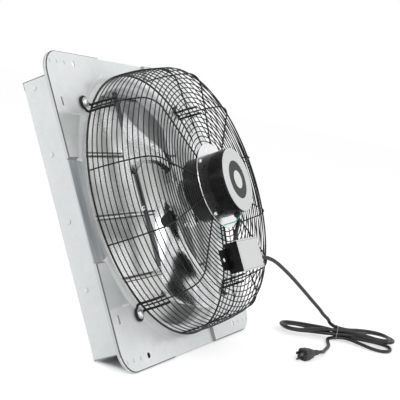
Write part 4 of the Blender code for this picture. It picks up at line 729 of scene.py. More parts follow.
def around(name: str, base: Object, finish: Material, count: int, first: float = 0.0, radius: float = 0.0,
           out: float = 0.0, wire: float = 0.0) -> BMesh:
    """Repeats a form or a path evenly round the axis.

    Args:
        name: The tree's name.
        base: The form or path; removed here.
        finish: Its material.
        count: How many there are.
        first: The first one's angle.
        radius: How far each stands from the axis.
        out: How far out each stands.
        wire: The wire's radius, where the base is a path.

    Returns:
        All of them as one form.
    """
    tree = Repeat(name, finish, Count=count, First=float(first), Radius=float(radius), Out=float(out),
                  Wire=float(wire))
    given = tree.given
    share = tree.maths("DIVIDE", tree.node("GeometryNodeInputIndex").outputs[0], given["Count"])
    turn = tree.maths("MULTIPLY_ADD", share, math.tau, given["First"])
    place = tree.vector(tree.product(tree.maths("COSINE", turn), given["Radius"]),
                        tree.product(tree.maths("SINE", turn), given["Radius"]), given["Out"])
    points = tree.node("GeometryNodePoints", Count=given["Count"], Position=place).outputs[0]
    turned = tree.node("FunctionNodeEulerToRotation", Euler=tree.vector(0.0, 0.0, turn)).outputs[0]
    copies = tree.node("GeometryNodeInstanceOnPoints", Points=points, Instance=given["Geometry"],
                       Rotation=turned).outputs[0]
    return tree.made(tree.wire(copies, given["Wire"]) if wire else copies, base)


def hoops(name: str, points: Sequence[Point], finish: Material, count: int, wire: float) -> BMesh:
    """Lays round hoops about the axis, evenly along a path whose X is their radius.

    Args:
        name: The tree's name.
        points: The path's places.
        finish: Their material.
        count: How many there are.
        wire: The wire's radius.

    Returns:
        All of them as one form.
    """
    tree = Repeat(name, finish, Count=count, Wire=float(wire), Sides=HOOP_SIDES)
    given = tree.given
    spots = tree.node("GeometryNodeCurveToPoints", {"mode": "COUNT"}, Curve=given["Geometry"],
                      Count=given["Count"]).outputs[0]
    radius = tree.apart(tree.node("GeometryNodeInputPosition").outputs[0])[0]
    hoop = tree.node("GeometryNodeCurvePrimitiveCircle", Resolution=given["Sides"], Radius=1.0).outputs[0]
    copies = tree.node("GeometryNodeInstanceOnPoints", Points=spots, Instance=hoop,
                       Scale=tree.vector(radius, radius, 1.0)).outputs[0]
    centred = tree.node("GeometryNodeTranslateInstances", Instances=copies, Local_Space=False,
                        Translation=tree.vector(tree.product(radius, -1.0), 0.0, 0.0)).outputs[0]
    return tree.made(tree.wire(centred, given["Wire"]), path(points, name + "_line"))


# The fan's assemblies


@dataclass
class Assembly:
    """Pieces that share the fan's stance, its finishes and its CAD nodes."""

    stance: Stance
    finishes: Finishes
    nodes: dict[str, Object]
    pieces: list[Object] = field(default_factory=list)

    def dress(self, material: Material, *names: str) -> None:
        """Gives CAD nodes a finish.

        Args:
            material: The finish.
            *names: The nodes' names.
        """
        for name in names:
            node = self.nodes[name]
            if not node.material_slots:
                node.data.materials.append(material)
            for slot in node.material_slots:
                slot.material = material

    def shown(self, name: str, data: Mesh | Curve, material: Material, body: Body = Body.HOUSING,
              replaces: Sequence[str] = (), slot: str | None = None) -> Object:
        """Args:
            name: The piece's name.
            data: Its mesh or curve, in the floor's frame.
            material: Its finish.
            body: What it rides on.
            replaces: The CAD nodes it stands for.
            slot: Not used.

        Returns:
            The piece.
        """
        data.materials.append(material)
        piece = linked(bpy.data.objects.new(name, data))
        self.pieces.append(piece)
        if replaces:
            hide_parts(*replaces)
        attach(piece, body.value)
        return piece

    def finished(self, name: str, form: BMesh, *details: object, **more: object) -> Object:
        """Shows a form that was made in the axis's frame; the details are those of `shown`."""
        bmesh.ops.transform(form, matrix=self.stance.axis(), verts=form.verts)
        bmesh.ops.recalc_face_normals(form, faces=form.faces)
        return self.shown(name, smooth_mesh(name, form), *details, **more)

    def refined(self, name: str, material: Material, body: Body = Body.HOUSING, bevel: float = 0.0003) -> Object:
        """Shows a merged copy of a CAD node with its edges softened and its curves smoothed.

        Args:
            name: The node's name.
            material: Its finish.
            body: What it rides on.
            bevel: The width of the softened edges.

        Returns:
            The piece.
        """
        form = form_of(self.nodes[name].data)
        bmesh.ops.remove_doubles(form, verts=form.verts, dist=WELD)
        bmesh.ops.dissolve_limit(form, angle_limit=DISSOLVE_BELOW, verts=form.verts, edges=form.edges)
        edges = [edge for edge in form.edges if len(edge.link_faces) == 2 and edge.calc_face_angle() > BEVEL_ABOVE]
        bmesh.ops.bevel(form, geom=edges, offset=bevel, segments=1, affect="EDGES", clamp_overlap=True)
        piece = self.shown(name + "_skin", smooth_mesh(name, form), material, body, (name,))
        self.flat_kept(piece)
        return piece

    def flat_kept(self, piece: Object) -> None:
        """Keeps wide faces flat where they meet the small faces of a bend.

        Args:
            piece: The piece.
        """
        form = form_of(piece.data)
        for edge in form.edges:
            if len(edge.link_faces) == 2:
                small, large = sorted(face.calc_area() for face in edge.link_faces)
                if large > FLAT_RATIO * small:
                    edge.smooth = False
        form.to_mesh(piece.data)
        form.free()

    def shaded(self, piece: Object, material: Material, test: Callable[[Vector, Vector], bool]) -> None:
        """Gives some of a piece's faces a second finish.

        Args:
            piece: The piece.
            material: The second finish.
            test: Says from a face's middle and normal, in the fan's own frame, whether it is one of them.
        """
        piece.data.materials.append(material)
        back = self.stance.own()
        turn = back.to_3x3()
        for face in piece.data.polygons:
            if test(back @ face.center, turn @ face.normal):
                face.material_index = len(piece.data.materials) - 1


@dataclass
class PowerLead(Assembly):
    """The mains lead from the gland to the plug, tied in a hank on the floor."""

    radius: float = 0.00425
    floor_gap: float = 0.0003
    gland_tip: Point = (0.0876, -0.1596, -0.1685)
    free_shares: Sequence[Pair] = ((0.075, 0.2116), (0.176, 0.1996), (0.339, 0.1694), (0.500, 0.1355),
                                   (0.655, 0.1016), (0.742, 0.0828))
    middle: Point = (0.440, -0.308)
    heading: float = math.radians(-62)
    climb: float = 0.0047
    apart: float = 0.0049
    flare: float = 0.0020
    run: float = 0.027
    fall_over: float = 0.100
    lobes: Sequence[Point] = ((0.110, 0.078, -14), (0.104, 0.062, -18), (0.134, 0.082, 24), (0.112, 0.064, 4),
                              (0.108, 0.072, 8))
    lobe_steps: int = 10
    top_route: Sequence[Point] = ((0.4345, -0.2955, 0.0355), (0.4200, -0.2925, 0.0425),
                                  (0.3985, -0.2932, 0.0535), (0.3820, -0.2885, 0.0628))
    low_route: Sequence[Point] = ((0.3600, -0.3155), (0.3850, -0.3060), (0.4080, -0.2990), (0.4255, -0.3010))
    tail_route: Sequence[Point] = ((0.3250, -0.3245, 0.00455), (0.3020, -0.3270, 0.00455),
                                   (0.2760, -0.3310, 0.0060), (0.2560, -0.3355, 0.0095))
    plug_place: Point = (0.180, -0.320, 0.0135)
    plug_heading: float = math.radians(163)
    plug_back: float = 0.042
    plug_pins: Sequence[str] = ("plug_blade_1", "plug_blade_2", "plug_ground_pin")
    step: float = 0.0135
    point_gap: float = 0.004
    fineness: int = 16

    def waist(self) -> tuple[Vector, Vector, Vector]:
        """Returns the waist's middle, its direction and the direction across it."""
        along = Vector((math.cos(self.heading), math.sin(self.heading), 0))
        return Vector((*self.middle, 0)), along, Vector((-along.y, along.x, 0))

    def raised(self, flat: Vector, layer: float) -> Vector:
        """Raises a flat place to its layer, less what a lobe falls by.

        Args:
            flat: The place on the floor.
            layer: The layer it lies in.

        Returns:
            The place of the cord's line.
        """
        share = min(1, max(0, (flat - self.waist()[0]).length - self.run) / self.fall_over)
        fall = self.climb * share * share * (3 - 2 * share)
        return Vector((flat.x, flat.y, self.radius + self.floor_gap + (layer + 1) * self.climb - fall))

    def lobe(self, k: int, onward: int) -> list[Vector]:
        """Returns one lobe's points, from one side of the waist to the other."""
        middle, along, across = self.waist()
        length, width, turned = self.lobes[k]
        turn = Matrix.Rotation(math.radians(turned), 3, "Z")
        out, aside = turn @ (along * onward), turn @ (across * -onward)
        points = []
        for step in range(1, self.lobe_steps):
            angle = math.pi * (step / self.lobe_steps)
            flat = middle + along * onward * self.run + out * length * math.sin(angle)
            points.append(self.raised(flat + aside * width / 2 * math.sin(2 * angle), k))
        return points

    def hank(self) -> list[Vector]:
        """Returns the hank's points from its low end to its high end."""
        middle, along, across = self.waist()
        route = [Vector((x, y, self.radius + self.floor_gap)) for x, y in self.low_route]
        for k in range(len(self.lobes) + 1):
            onward = 1 if k % 2 == 0 else -1
            near, wide = across * -onward * self.apart, across * -onward * (self.apart + self.flare)
            if k:
                route.append(self.raised(middle - along * onward * self.run + wide, k - 1))
            route.append(self.raised(middle + near, k - 1) + Vector((0, 0, self.climb / 2)))
            if k < len(self.lobes):
                route.append(self.raised(middle + along * onward * self.run + wide, k))
                route.extend(self.lobe(k, onward))
        return route + [Vector(place) for place in self.top_route]

    def route(self) -> list[Vector]:
        """Returns the whole lead's points from the gland to the plug."""
        start = self.stance.matrix() @ Vector(self.gland_tip)
        goal = Vector((*self.middle, 0))
        free = [start, start + Vector((self.radius * 2, 0, 0))]
        free += [Vector((*start.xy.lerp(goal.xy, share), height)) for share, height in self.free_shares]
        hank = self.hank()
        way = Vector((math.cos(self.plug_heading), math.sin(self.plug_heading), 0))
        end = Vector(self.plug_place) - way * self.plug_back
        ahead, after = (last + (last - before).normalized() * self.step
                        for last, before in ((hank[-1], hank[-2]), (hank[0], hank[1])))
        tail = [Vector(place) for place in self.tail_route]
        return [*free, ahead, *reversed(hank), after, *tail, end - way * self.step, end]

    def curve_points(self) -> list[Vector]:
        """Returns evenly spaced points on a smooth curve through the route."""
        route = self.route()
        ends = [2 * route[0] - route[1], *route, 2 * route[-1] - route[-2]]
        fine = []
        for before, start, end, after in zip(ends, ends[1:], ends[2:], ends[3:]):
            for step in range(self.fineness):
                t = step / self.fineness
                fine.append(0.5 * (2 * start + (end - before) * t
                                   + (2 * before - 5 * start + 4 * end - after) * t ** 2
                                   + (3 * start - before - 3 * end + after) * t ** 3))
        points = [fine[0]]
        for place in fine[1:]:
            if (place - points[-1]).length >= self.point_gap:
                points.append(place)
        return [*points, route[-1]]

    def build(self) -> None:
        f = self.finishes
        points = self.curve_points()
        curve = poly_curve(points, "power_lead")
        curve.bevel_depth = self.radius
        curve.bevel_resolution = 4
        curve.use_fill_caps = True
        lead = self.shown("power_lead", curve, f.vinyl, replaces=("power_cord", "cord_hank", "cord_tail"),
                          slot="cord_black")
        self.dress(f.vinyl, "cord_gland")
        self.dress(f.plug, "plug_body")
        self.dress(f.brass, *self.plug_pins)
        self.dress(f.tie, "twist_tie")


@dataclass
class SheetMetal(Assembly):
    """Mounting panel, shutter box and louvers.

    A turn is the part of a face's normal along Y, and an up its part along Z; a fold's turn is along any axis.
    """

    louvers: int = 4
    louver_bevel: float = 0.00015
    box_bevel: float = 0.0005
    rim: float = 0.3185
    rim_turn: float = 0.3
    throat_radius: float = 0.2625
    mouth_radius: float = 0.303
    mouth_turns: Pair = (-0.995, -0.02)
    crease: Pair = (0.094, 0.110)
    crease_turns: Pair = (-0.97, -0.1)
    bend: float = 0.0021
    bend_turn: float = 0.985
    bend_up: float = 0.75
    fold_turn: float = 0.98
    lip_height: float = 0.0052
    curl: Pair = (0.1280, 0.1312)
    curl_up: float = -0.3

    def panel(self) -> None:
        """Shows the panel, with painted shade on its lip, creases and bends and painted reflection on the bell's
        inner faces.
        """
        f = self.finishes
        panel = self.refined("mounting_panel", f.sheet)
        # Painted shade: the lip's faces get the darker copy of the sheet
        self.shaded(panel, f.lip, lambda place, normal: abs(normal.y) < self.rim_turn
                    and max(abs(place.x), abs(place.z)) > self.rim)
        # Painted reflection: the bell's inner faces get the lighter copy of the sheet
        self.shaded(panel, f.painted_mouth_reflection, lambda place, normal: self.mouth_turns[0] < normal.y < self.mouth_turns[1]
                    and self.throat_radius < reach(place) < self.mouth_radius)
        # Painted shade: the recesses' crease faces get the dark crease sheet
        self.shaded(panel, f.seam, lambda place, normal: self.crease_turns[0] < normal.y < self.crease_turns[1]
                    and reach(place) > self.mouth_radius
                    and self.crease[0] < min(abs(place.x), abs(place.z)) < self.crease[1])
        # Painted shade: the front folds of the panel's edge get the dark sheet
        self.shaded(panel, f.bend, lambda place, normal: place.y < self.bend and abs(normal.y) < self.bend_turn
                    and normal.z < self.bend_up and reach(place) > self.mouth_radius)

    def build(self) -> None:
        """Shows the panel, the box, the louvers and their bar."""
        f = self.finishes
        self.panel()
        for side in ("left", "right", "top", "bottom"):
            box = self.refined("frame_" + side, f.box_sheet, bevel=self.box_bevel)
            # Painted shade: the frames' folds and softened edges get the dark crease sheet
            self.shaded(box, f.seam, lambda place, normal: max(map(abs, normal)) < self.fold_turn)
        for name in numbered("louver", self.louvers):
            louver = self.refined(name, f.louver, Body(name), self.louver_bevel)
            low = min((self.stance.own() @ vertex.co).z for vertex in louver.data.vertices)
            # Painted shade: each louver's low lip and the underside of its curl get the dark sheet
            self.shaded(louver, f.bend, lambda place, normal: place.z < low + self.lip_height
                        or low + self.curl[0] < place.z < low + self.curl[1] and normal.z < self.curl_up)
        self.dress(f.steel, *numbered("louver_rod", self.louvers))
        # The tie bar in the darker steel: painted shade
        self.refined("tie_bar", f.bar, Body.TIE_BAR)


@dataclass
class WireGuard(Assembly):
    """The welded wire cage, its four looped feet and their screws."""

    back_radius: float = 0.2865
    back_out: float = 0.008
    side_radius: float = 0.2725
    side_out: float = 0.109
    front_radius: float = 0.235
    front_out: float = 0.1415
    hub_radius: float = 0.088
    bulge: float = 0.33
    hoop_count: int = 29
    hoop_wire: float = 0.00115
    back_wire: float = 0.0019
    rib_count: int = 12
    rib_wire: float = 0.0015
    weld: float = 0.0004
    foot_count: int = 4
    first_foot: float = math.pi / 4
    foot_radius: float = 0.3045
    foot_wire: float = 0.0026
    foot_loop: float = 0.0125
    leg_apart: float = 0.0105
    leg_top: float = 0.064
    foot_gap: float = 0.0003
    screw: Screw = Screw(0.0062, 0.0036, 0.0022, 0.012, (0.0104, 0.0012))

    def line(self, steps: int = 24) -> list[Vector]:
        """Returns the cage's outline as places (radius, 0, out), from its back to the motor."""
        shares = [k / steps for k in range(steps + 1)]
        bow, height = self.back_radius - self.side_radius, self.side_out - self.back_out
        side = [Vector((self.back_radius - bow * share ** 2, 0, self.back_out + height * share)) for share in shares]
        knee, end, hub = (Vector((radius, 0, self.front_out))
                          for radius in (self.side_radius, self.front_radius, self.hub_radius))
        start = side[-1]
        out = knee - (start + end) / 2
        shoulder = [start.lerp(end, share) + out * (self.bulge * 4 * share * (1 - share)) for share in shares[1:]]
        return [*side, *shoulder, *(end.lerp(hub, share) for share in shares[1:])]

    def inner_line(self) -> list[Vector]:
        """Returns the line of the hoops, which lie against the ribs' inner side."""
        line = self.line()
        depth = self.rib_wire + self.hoop_wire - self.weld
        moved = []
        for place, before, after in zip(line, line[:1] + line, line[1:] + line[-1:]):
            along = (after - before).normalized()
            moved.append(place + Vector((-along.z, 0, along.x)) * depth)
        return moved

    def side_at(self, out: float) -> float:
        """Returns how far from the axis a foot's wire runs down the cage's side at a height."""
        share = (out - self.back_out) / (self.side_out - self.back_out)
        radius = self.back_radius - (self.back_radius - self.side_radius) * share * abs(share)
        return radius + self.foot_wire / 2

    def foot(self, steps: int = 24) -> list[Vector]:
        """Returns one foot's bent wire: down a leg, round the screw and back."""
        low = self.foot_wire + self.foot_gap
        root = self.side_at(self.back_out)
        places = [(self.side_at(out), out) for out in (self.leg_top, self.leg_top / 2)]
        leg = [Vector((radius, self.leg_apart, out)) for radius, out in (*places, (root, low * 2), (root + low, low))]
        spread = math.pi - math.asin(self.leg_apart / self.foot_loop)
        turns = (spread * (1 - 2 * k / steps) for k in range(steps + 1))
        loop = [Vector((self.foot_radius + self.foot_loop * math.cos(turn), self.foot_loop * math.sin(turn), low))
                for turn in turns]
        return leg + loop + [Vector((place.x, -place.y, place.z)) for place in reversed(leg)]

    def build(self) -> None:
        """Makes the cage and its screws."""
        f = self.finishes
        back = [Vector((self.back_radius + self.rib_wire - self.back_wire, 0, self.back_out + k * self.weld))
                for k in (0, 1)]
        cage = merged(
            hoops("guard_hoops", self.inner_line(), f.guard, self.hoop_count, self.hoop_wire),
            hoops("guard_back_hoop", back, f.guard, 1, self.back_wire),
            around("guard_ribs", path(self.line(), "rib_line"), f.guard, self.rib_count,
                   math.pi / self.rib_count, wire=self.rib_wire),
            around("guard_feet", path(self.foot(), "foot_line"), f.guard, self.foot_count, self.first_foot,
                   wire=self.foot_wire))
        self.finished("guard_cage", cage, f.guard, replaces=("wire_guard",))
        screws = around("guard_screws", self.screw.build("screw"), f.screw, self.foot_count, self.first_foot,
                        self.foot_radius, 2 * (self.foot_wire + self.foot_gap))
        self.finished("guard_screws", screws, f.screw, replaces=numbered("guard_screw", self.foot_count))


@dataclass
class FanWheel(Assembly):
    """Three swept blades on a hub with three arms."""

    blades: int = 3
    phase: float = math.radians(91)
    out: float = 0.040
    root_radius: float = 0.060
    tip_radius: float = 0.242
    lead: Point = (-40, 21, 22)
    trail: Point = (26, 98, 35)
    round_power: float = 6
    root_pitch: float = math.radians(13)
    tip_pitch: float = math.radians(11)
    camber: float = 0.013
    sheet: float = 0.0015
    rim_sheet: float = 0.35
    rim_fall: float = 8
    arm_half: float = 0.013
    arm_sheet: float = 0.0030
    arm_start: float = 0.8
    arm_reach: float = 0.25
    arm_seat: float = 0.0009
    arm_crown: float = 0.25
    arm_tip: float = 0.04
    hub_radius: float = 0.036
    hub_back: float = 0.012
    hub_front: float = 0.028
    hub_bevel: float = 0.0015
    hub_collar: Pair = (0.006, 0.0065)
    hub_rim: Pair = (0.006, 0.0055)
    hub_sunk: float = 0.002
    hub_facets: int = 64
    bore: float = 0.0063
    light_reach: float = 0.034
    rivets: Sequence[Pair] = ((0.06, -0.45), (0.06, 0.45), (0.18, 0.0))
    rivet_head: Sequence[Pair] = ((0, 0.0016), (0.0018, 0.0014), (0.0030, 0.0007), (0.0034, -0.0004), (0, -0.0004))
    rivet_facets: int = 20

    def edges(self, share: float) -> Pair:
        """Returns the angles of a blade's two edges at a share of its span."""
        lead = self.lead[0] + (self.lead[1] - self.lead[0]) * share + self.lead[2] * 4 * share * (1 - share)
        trail = self.trail[0] + (self.trail[1] - self.trail[0]) * share - self.trail[2] * share ** self.round_power
        return math.radians(lead), math.radians(trail)

    def radius_at(self, u: float) -> float:
        """Returns the radius at a share of the span."""
        return self.root_radius + (self.tip_radius - self.root_radius) * u

    def point(self, u: float, v: float, lift: float = 0.0) -> Vector:
        """Returns a point of a blade's middle surface.

        Args:
            u: The share of the span.
            v: From -1 at the leading edge to 1 at the trailing edge.
            lift: How far off the surface, to the room.

        Returns:
            The place in the axis's frame, with the blade's arm on X.
        """
        radius = self.radius_at(u)
        pitch = self.root_pitch + (self.tip_pitch - self.root_pitch) * max(0, u)
        lead, trail = self.edges(max(0, u))
        half = (trail - lead) / 2
        out = self.out + v * half * radius * math.tan(pitch) + self.camber * (1 - v ** 2) + lift * math.cos(pitch)
        angle = (lead + trail) / 2 + v * half - lift * math.sin(pitch) / radius
        return Vector((radius * math.cos(angle), radius * math.sin(angle), out))

    def arm_point(self, u: float, across: float, lift: float) -> Vector:
        """Returns a place on an arm, whose sides are -1 and 1 across it."""
        lead, trail = self.edges(max(0, u))
        return self.point(u, (2 * across * self.arm_half / self.radius_at(u) - lead - trail) / (trail - lead), lift)

    def slab(self, rows: int, columns: int, place: Callable[[int, float, int], Vector]) -> BMesh:
        """Closes two sheets of points, front and back, into one form.

        Args:
            rows: How many rows of faces a sheet has.
            columns: How many faces a row has.
            place: Gives a point from its row, its place across from -1 to 1 and its side, 1 or -1.

        Returns:
            The closed form.
        """
        form = bmesh.new()
        sheets = [[[form.verts.new(place(i, 2 * j / columns - 1, side)) for j in range(columns + 1)]
                   for i in range(rows + 1)] for side in (1, -1)]
        for sheet in sheets:
            for near, far in zip(sheet, sheet[1:]):
                for k in range(columns):
                    form.faces.new((near[k], near[k + 1], far[k + 1], far[k]))
        front, back = (sheet[0] + [row[-1] for row in sheet[1:-1]] + sheet[-1][::-1]
                       + [row[0] for row in sheet[-2:0:-1]] for sheet in sheets)
        for k in range(len(front)):
            after = (k + 1) % len(front)
            form.faces.new((front[k], front[after], back[after], back[k]))
        bmesh.ops.recalc_face_normals(form, faces=form.faces)
        return form

    def blade(self, rows: int = 44, columns: int = 36) -> BMesh:
        """Returns one blade with its rim rolled thin."""
        def place(row: int, v: float, side: int) -> Vector:
            """Returns one point of the blade."""
            u = row / rows
            edge = min(1.0, self.rim_sheet + self.rim_fall * min(u, 1 - u, (1 - abs(v)) / 2))
            return self.point(u, v, side * edge * self.sheet / 2)
        return self.slab(rows, columns, place)

    def arm(self, rows: int = 16, columns: int = 8) -> BMesh:
        """Returns one hub arm with a rounded end, which lies on the blade's front."""
        lift = self.sheet / 2 + self.arm_seat + self.arm_sheet / 2
        span = self.tip_radius - self.root_radius
        start = (self.hub_radius * self.arm_start - self.root_radius) / span

        def place(row: int, v: float, side: int) -> Vector:
            """Returns one point of the arm."""
            u = start + (self.arm_reach - start) * row / rows
            to_end = (self.arm_reach - u) * span / self.arm_half
            narrow = math.sqrt(max(self.arm_tip, 1 - max(0.0, 1 - to_end) ** 2))
            crown = 1 - self.arm_crown * v ** 4
            return self.arm_point(u, v * narrow, lift + side * crown * self.arm_sheet / 2)
        return self.slab(rows, columns, place)

    def rivet(self, u: float, across: float) -> BMesh:
        """Returns one rivet's head on an arm."""
        place = self.arm_point(u, across, self.sheet / 2 + self.arm_seat + self.arm_sheet)
        head = lathe(self.rivet_head, self.rivet_facets)
        bmesh.ops.transform(head, matrix=Matrix.Translation(place), verts=head.verts)
        return head

    def hub(self) -> BMesh:
        """Returns the hub, its front sunk between a collar and its rim."""
        back, front = self.out - self.hub_back, self.out + self.hub_front
        sunk, rim, bevel = front - self.hub_sunk, self.hub_radius, self.hub_bevel
        return lathe([(self.bore, front), (self.bore + self.hub_collar[0], front),
                      (self.bore + self.hub_collar[1], sunk), (rim - self.hub_rim[0], sunk),
                      (rim - self.hub_rim[1], front), (rim - bevel, front), (rim, front - bevel),
                      (rim, back + bevel), (rim - bevel, back), (self.bore, back)], self.hub_facets)

    def each(self, name: str, form: BMesh, finish: Material) -> BMesh:
        """Returns what one blade has for all the blades; the form is freed."""
        return around(name, plain(form, name), finish, self.blades, self.phase)

    def build(self) -> None:
        """Makes the wheel."""
        f = self.finishes
        blades = self.each("fan_blades", self.blade(), f.blade)
        self.finished("fan_blades", blades, f.blade, Body.FAN, numbered("blade", self.blades))
        arms = self.each("hub_arms", self.arm(), f.spider)
        spider = self.finished("hub_spider", merged(self.hub(), arms), f.hub, Body.FAN, ("fan_hub",))
        middle = self.hub_radius + self.light_reach
        self.shaded(spider, f.spider, lambda place, normal: reach(place) > middle)
        heads = merged(*(self.rivet(*place) for place in self.rivets))
        rivets = self.each("arm_rivets", heads, f.spider)
        self.finished("arm_rivets", rivets, f.spider, Body.FAN, slot="screw_zinc")
        self.dress(f.screw, "hub_nut")
        self.dress(f.steel, "motor_shaft", "rotor_core")


@dataclass
class Motor(Assembly):
    """The black drum through the plate, its face, end disc, cap and screws."""

    radius: float = 0.0685
    wall: float = 0.0035
    edge: float = 0.002
    front: float = 0.1895
    back: float = 0.097
    groove: Sequence[Pair] = ((0, 0.0075), (0.0006, 0.0080), (0.0006, 0.0090), (0, 0.0095))
    flange_radius: float = 0.085
    flange: Pair = (0.140, 0.143)
    seat_radius: float = 0.0133
    seat: float = 0.012
    collar: float = 0.004
    bore: float = 0.0063
    face_back: float = 0.1898
    face_front: float = 0.1912
    face_inset: float = 0.0005
    face_edge: float = 0.0006
    ring_groove: Pair = (0.0646, 0.0626)
    ring_groove_depth: float = 0.006
    face_inner: Sequence[Pair] = ((0.0430, 0.1898), (0.0430, 0.1827), (0.0360, 0.1827), (0.0360, 0.1852),
                                  (0.0410, 0.1852))
    facets: int = 128
    plate_front: float = 0.1453
    bolt: Screw = Screw(0.0042, 0.0026, 0.0018, 0.0045)
    bolts: int = 4
    first_bolt: float = math.radians(48)
    bolt_radius: float = 0.079
    bolt_gap: float = 0.0003

    def rounded(self, radius: float, out: float, depth: float, steps: int = 5) -> list[Pair]:
        """Returns a rounded outer corner of a profile, from its end face round to its side.

        Args:
            radius: The corner's radius from the axis.
            out: How far out the end face is.
            depth: The rounding, negative for a back corner.
            steps: Its facets.

        Returns:
            The (radius, out) pairs.
        """
        size = abs(depth)
        turns = (math.pi / 2 * k / steps for k in range(steps + 1))
        return [(radius - size + size * math.sin(turn), out - depth + depth * math.cos(turn)) for turn in turns]

    def shell(self) -> list[Pair]:
        """Returns the drum's profile."""
        radius, inner = self.radius, self.radius - self.wall
        neck, collar = self.bore + self.edge, self.seat_radius + self.collar
        floor, lip, seat_front = self.back + self.wall, self.back + self.edge, self.back + self.seat
        low, high = self.flange
        return [*self.rounded(radius, self.front, self.edge),
                *((radius - depth, self.front - behind) for depth, behind in self.groove),
                (radius, high), (self.flange_radius, high), (self.flange_radius, low), (radius, low),
                *self.rounded(radius, self.back, -self.edge)[::-1],
                (neck, self.back), (neck, lip), (self.seat_radius, lip), (self.seat_radius, seat_front),
                (collar, seat_front), (collar, floor), (inner, floor), (inner, self.front)]

    def face(self) -> list[Pair]:
        """Returns the profile of the ring on the drum's front, with its groove and its inner step."""
        low, high, outer = self.face_back, self.face_front, self.radius - self.face_inset
        wide, narrow = self.ring_groove
        sunk = low - self.ring_groove_depth
        rim = self.face_inner[-1][0]
        return [*self.rounded(outer, high, self.face_edge), (outer, low), (wide, low), (wide, sunk),
                (narrow, sunk), (narrow, low), *self.face_inner, (rim, high - self.face_inset),
                (rim + self.face_inset, high)]

    def build(self) -> None:
        """Makes the motor."""
        f = self.finishes
        self.finished("motor_drum", lathe(self.shell(), self.facets), f.motor, replaces=("motor_shell",))
        self.finished("motor_face", lathe(self.face(), self.facets), f.face, replaces=("motor_face_ring",))
        self.refined("motor_plate", f.plate)
        self.dress(f.recess, "motor_end_disc")
        self.dress(f.steel, "bearing_front", "bearing_rear")
        self.dress(f.copper, "stator")
        self.dress(f.cap, "shaft_cap")
        bolts = around("motor_bolts", self.bolt.build("bolt"), f.screw, self.bolts, self.first_bolt,
                       self.bolt_radius, self.plate_front + self.bolt_gap)
        self.finished("motor_bolts", bolts, f.screw, replaces=numbered("motor_bolt", self.bolts))


@dataclass
class JunctionBox(Assembly):
    """The black box under the motor with its light cover and ends, its strap and leads."""

    border: float = 0.0034
    groove: float = 0.0011
    side_up: float = 0.8
    cover_bevel: float = 0.0004

    def bordered(self, cover: Object, groove: Material) -> None:
        """Draws a dark line of painted shade round the cover's front, a little inside its edge.

        Args:
            cover: The cover.
            groove: The line's finish, a dark painted shade.
        """
        cover.data.materials.append(groove)
        form = form_of(cover.data)
        front = max(form.faces, key=lambda face: face.calc_area())
        bmesh.ops.inset_individual(form, faces=[front], thickness=self.border)
        for face in bmesh.ops.inset_individual(form, faces=[front], thickness=self.groove)["faces"]:
            face.material_index = len(cover.data.materials) - 1
        form.to_mesh(cover.data)
        form.free()

    def build(self) -> None:
        """Shows the junction box."""
        f = self.finishes
        box = self.refined("junction_box", f.motor)
        self.shaded(box, f.cover, lambda place, normal: abs(normal.z) > self.side_up)
        self.bordered(self.refined("junction_cover", f.cover, bevel=self.cover_bevel), f.seam)
        self.refined("junction_bracket", f.guard)
        self.dress(f.screw, "junction_screw_1", "junction_screw_2")
        self.dress(f.vinyl, "lead_gland", "motor_lead")
        self.dress(f.earth, "earth_wire")
        self.dress(f.shell, "run_capacitor")


# The studio


@dataclass(frozen=True)
class Lamp:
    """A soft square lamp that looks at a place."""

    name: str
    place: Point
    target: Point
    size: float
    watts: float

    def build(self) -> None:
        """Adds the lamp."""
        data = bpy.data.lights.new(self.name, "AREA")
        data.size = self.size
        data.energy = self.watts
        lamp = linked(bpy.data.objects.new(self.name, data))
        lamp.location = self.place
        lamp.rotation_euler = (Vector(self.target) - Vector(self.place)).to_track_quat("-Z", "Y").to_euler()


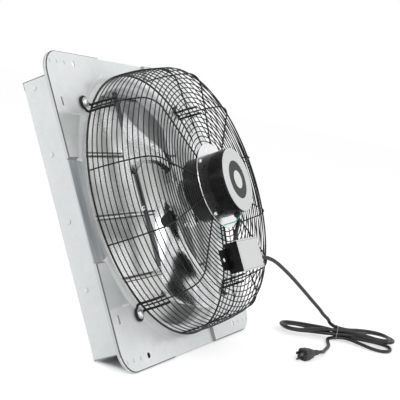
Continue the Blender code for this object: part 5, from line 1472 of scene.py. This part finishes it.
@dataclass
class Studio:
    """Floor, lamps, world and the camera of the photograph."""

    eye: Point = (-1.98897, -0.92613, 0.57739)
    right: Point = (0.40744, -0.87623, -0.25733)
    down: Point = (-0.03535, 0.26643, -0.96320)
    forward: Point = (0.91255, 0.40155, 0.07758)
    focal_pixels: float = 1030.4
    frame_pixels: float = 400.0
    sensor: float = 36.0
    far: float = 60
    floor_size: float = 14
    floor_drop: float = 0.0004
    floor_white: float = 0.80
    glow: Pair = (0.49, 0.0)
    under_across: Pair = (0.262, 0.286)
    under_front: Pair = (-0.130, -0.122)
    under_back: Pair = (-0.050, -0.025)
    world_light: Pair = (0.62, 1.0)
    lamps: Sequence[Lamp] = (Lamp("key_lamp", (-1.6, -2.2, 2.6), (0, 0, 0.25), 1.8, 36),
                             Lamp("left_lamp", (-2.6, 1.0, 1.4), (0, 0, 0.3), 1.6, 16))

    def camera(self, stance: Stance) -> None:
        """Places the camera; its axes are given in the fan's own frame."""
        data = bpy.data.cameras.new("photo_camera")
        data.sensor_width = self.sensor
        data.lens = self.focal_pixels / self.frame_pixels * self.sensor
        data.clip_end = self.far
        camera = linked(bpy.data.objects.new("photo_camera", data))
        turn = stance.matrix().to_3x3()
        columns = [turn @ Vector(self.right), -(turn @ Vector(self.down)), -(turn @ Vector(self.forward))]
        matrix = Matrix(columns).transposed().to_4x4()
        matrix.translation = Vector(self.eye)
        camera.matrix_world = matrix
        bpy.context.scene.camera = camera

    def floor(self) -> None:
        """A plain white floor that keeps the fan's shadow; its glow is taken away under the fan, which paints a
        darker shadow there.
        """
        s = Shader("studio_white")
        across, back, _ = s.apart(s.scaled(s.whole()))
        # Painted shadow: the floor glows less beneath the box and behind the panel
        under = s.product(s.span(s.maths("ABSOLUTE", across), *self.under_across, 1, 0),
                          s.span(back, *self.under_front), s.span(back, *self.under_back, 1, 0))
        strength = s.product(s.span(under, 0, 1, *self.glow), s.seen())
        diffuse = s.node("ShaderNodeBsdfDiffuse", Color=[self.floor_white] * 3).outputs[0]
        glow = s.node("ShaderNodeEmission", Color=WHITE, Strength=strength).outputs[0]
        white = s.ended(s.fed(s.node("ShaderNodeAddShader"), diffuse, glow).outputs[0])
        form = bmesh.new()
        bmesh.ops.create_grid(form, x_segments=1, y_segments=1, size=self.floor_size)
        floor = linked(plain(form, "studio_floor"))
        floor.data.materials.append(white)
        floor.location = (0, 0, -self.floor_drop)

    def world(self) -> None:
        """White to the camera and in reflections, softer as light."""
        world = bpy.data.worlds.new("studio_world")
        bpy.context.scene.world = world
        world.use_nodes = True
        world.node_tree.nodes.clear()
        tree = Tree(world.node_tree)
        strength = tree.span(tree.seen(), 0, 1, *self.world_light)
        background = tree.node("ShaderNodeBackground", Color=WHITE, Strength=strength).outputs[0]
        tree.node("ShaderNodeOutputWorld", Surface=background)

    def build(self, stance: Stance) -> None:
        """Sets the studio up."""
        self.camera(stance)
        self.floor()
        self.world()
        for lamp in self.lamps:
            lamp.build()
        bpy.context.scene.view_settings.view_transform = "Standard"


def main() -> None:
    """Builds the studio and dresses the fan."""
    logging.basicConfig(level=logging.INFO, format="%(name)s: %(message)s")
    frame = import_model()
    stance = Stance()
    Studio().build(stance)
    finishes = Finishes(stance)
    for kind in (PowerLead, SheetMetal, WireGuard, FanWheel, Motor, JunctionBox):
        assembly = kind(stance, finishes, frame["nodes"])
        assembly.build()
        for piece in assembly.pieces:
            LOG.info("%s: %s", kind.__name__, piece.name)


if __name__ == "__main__":
    main()
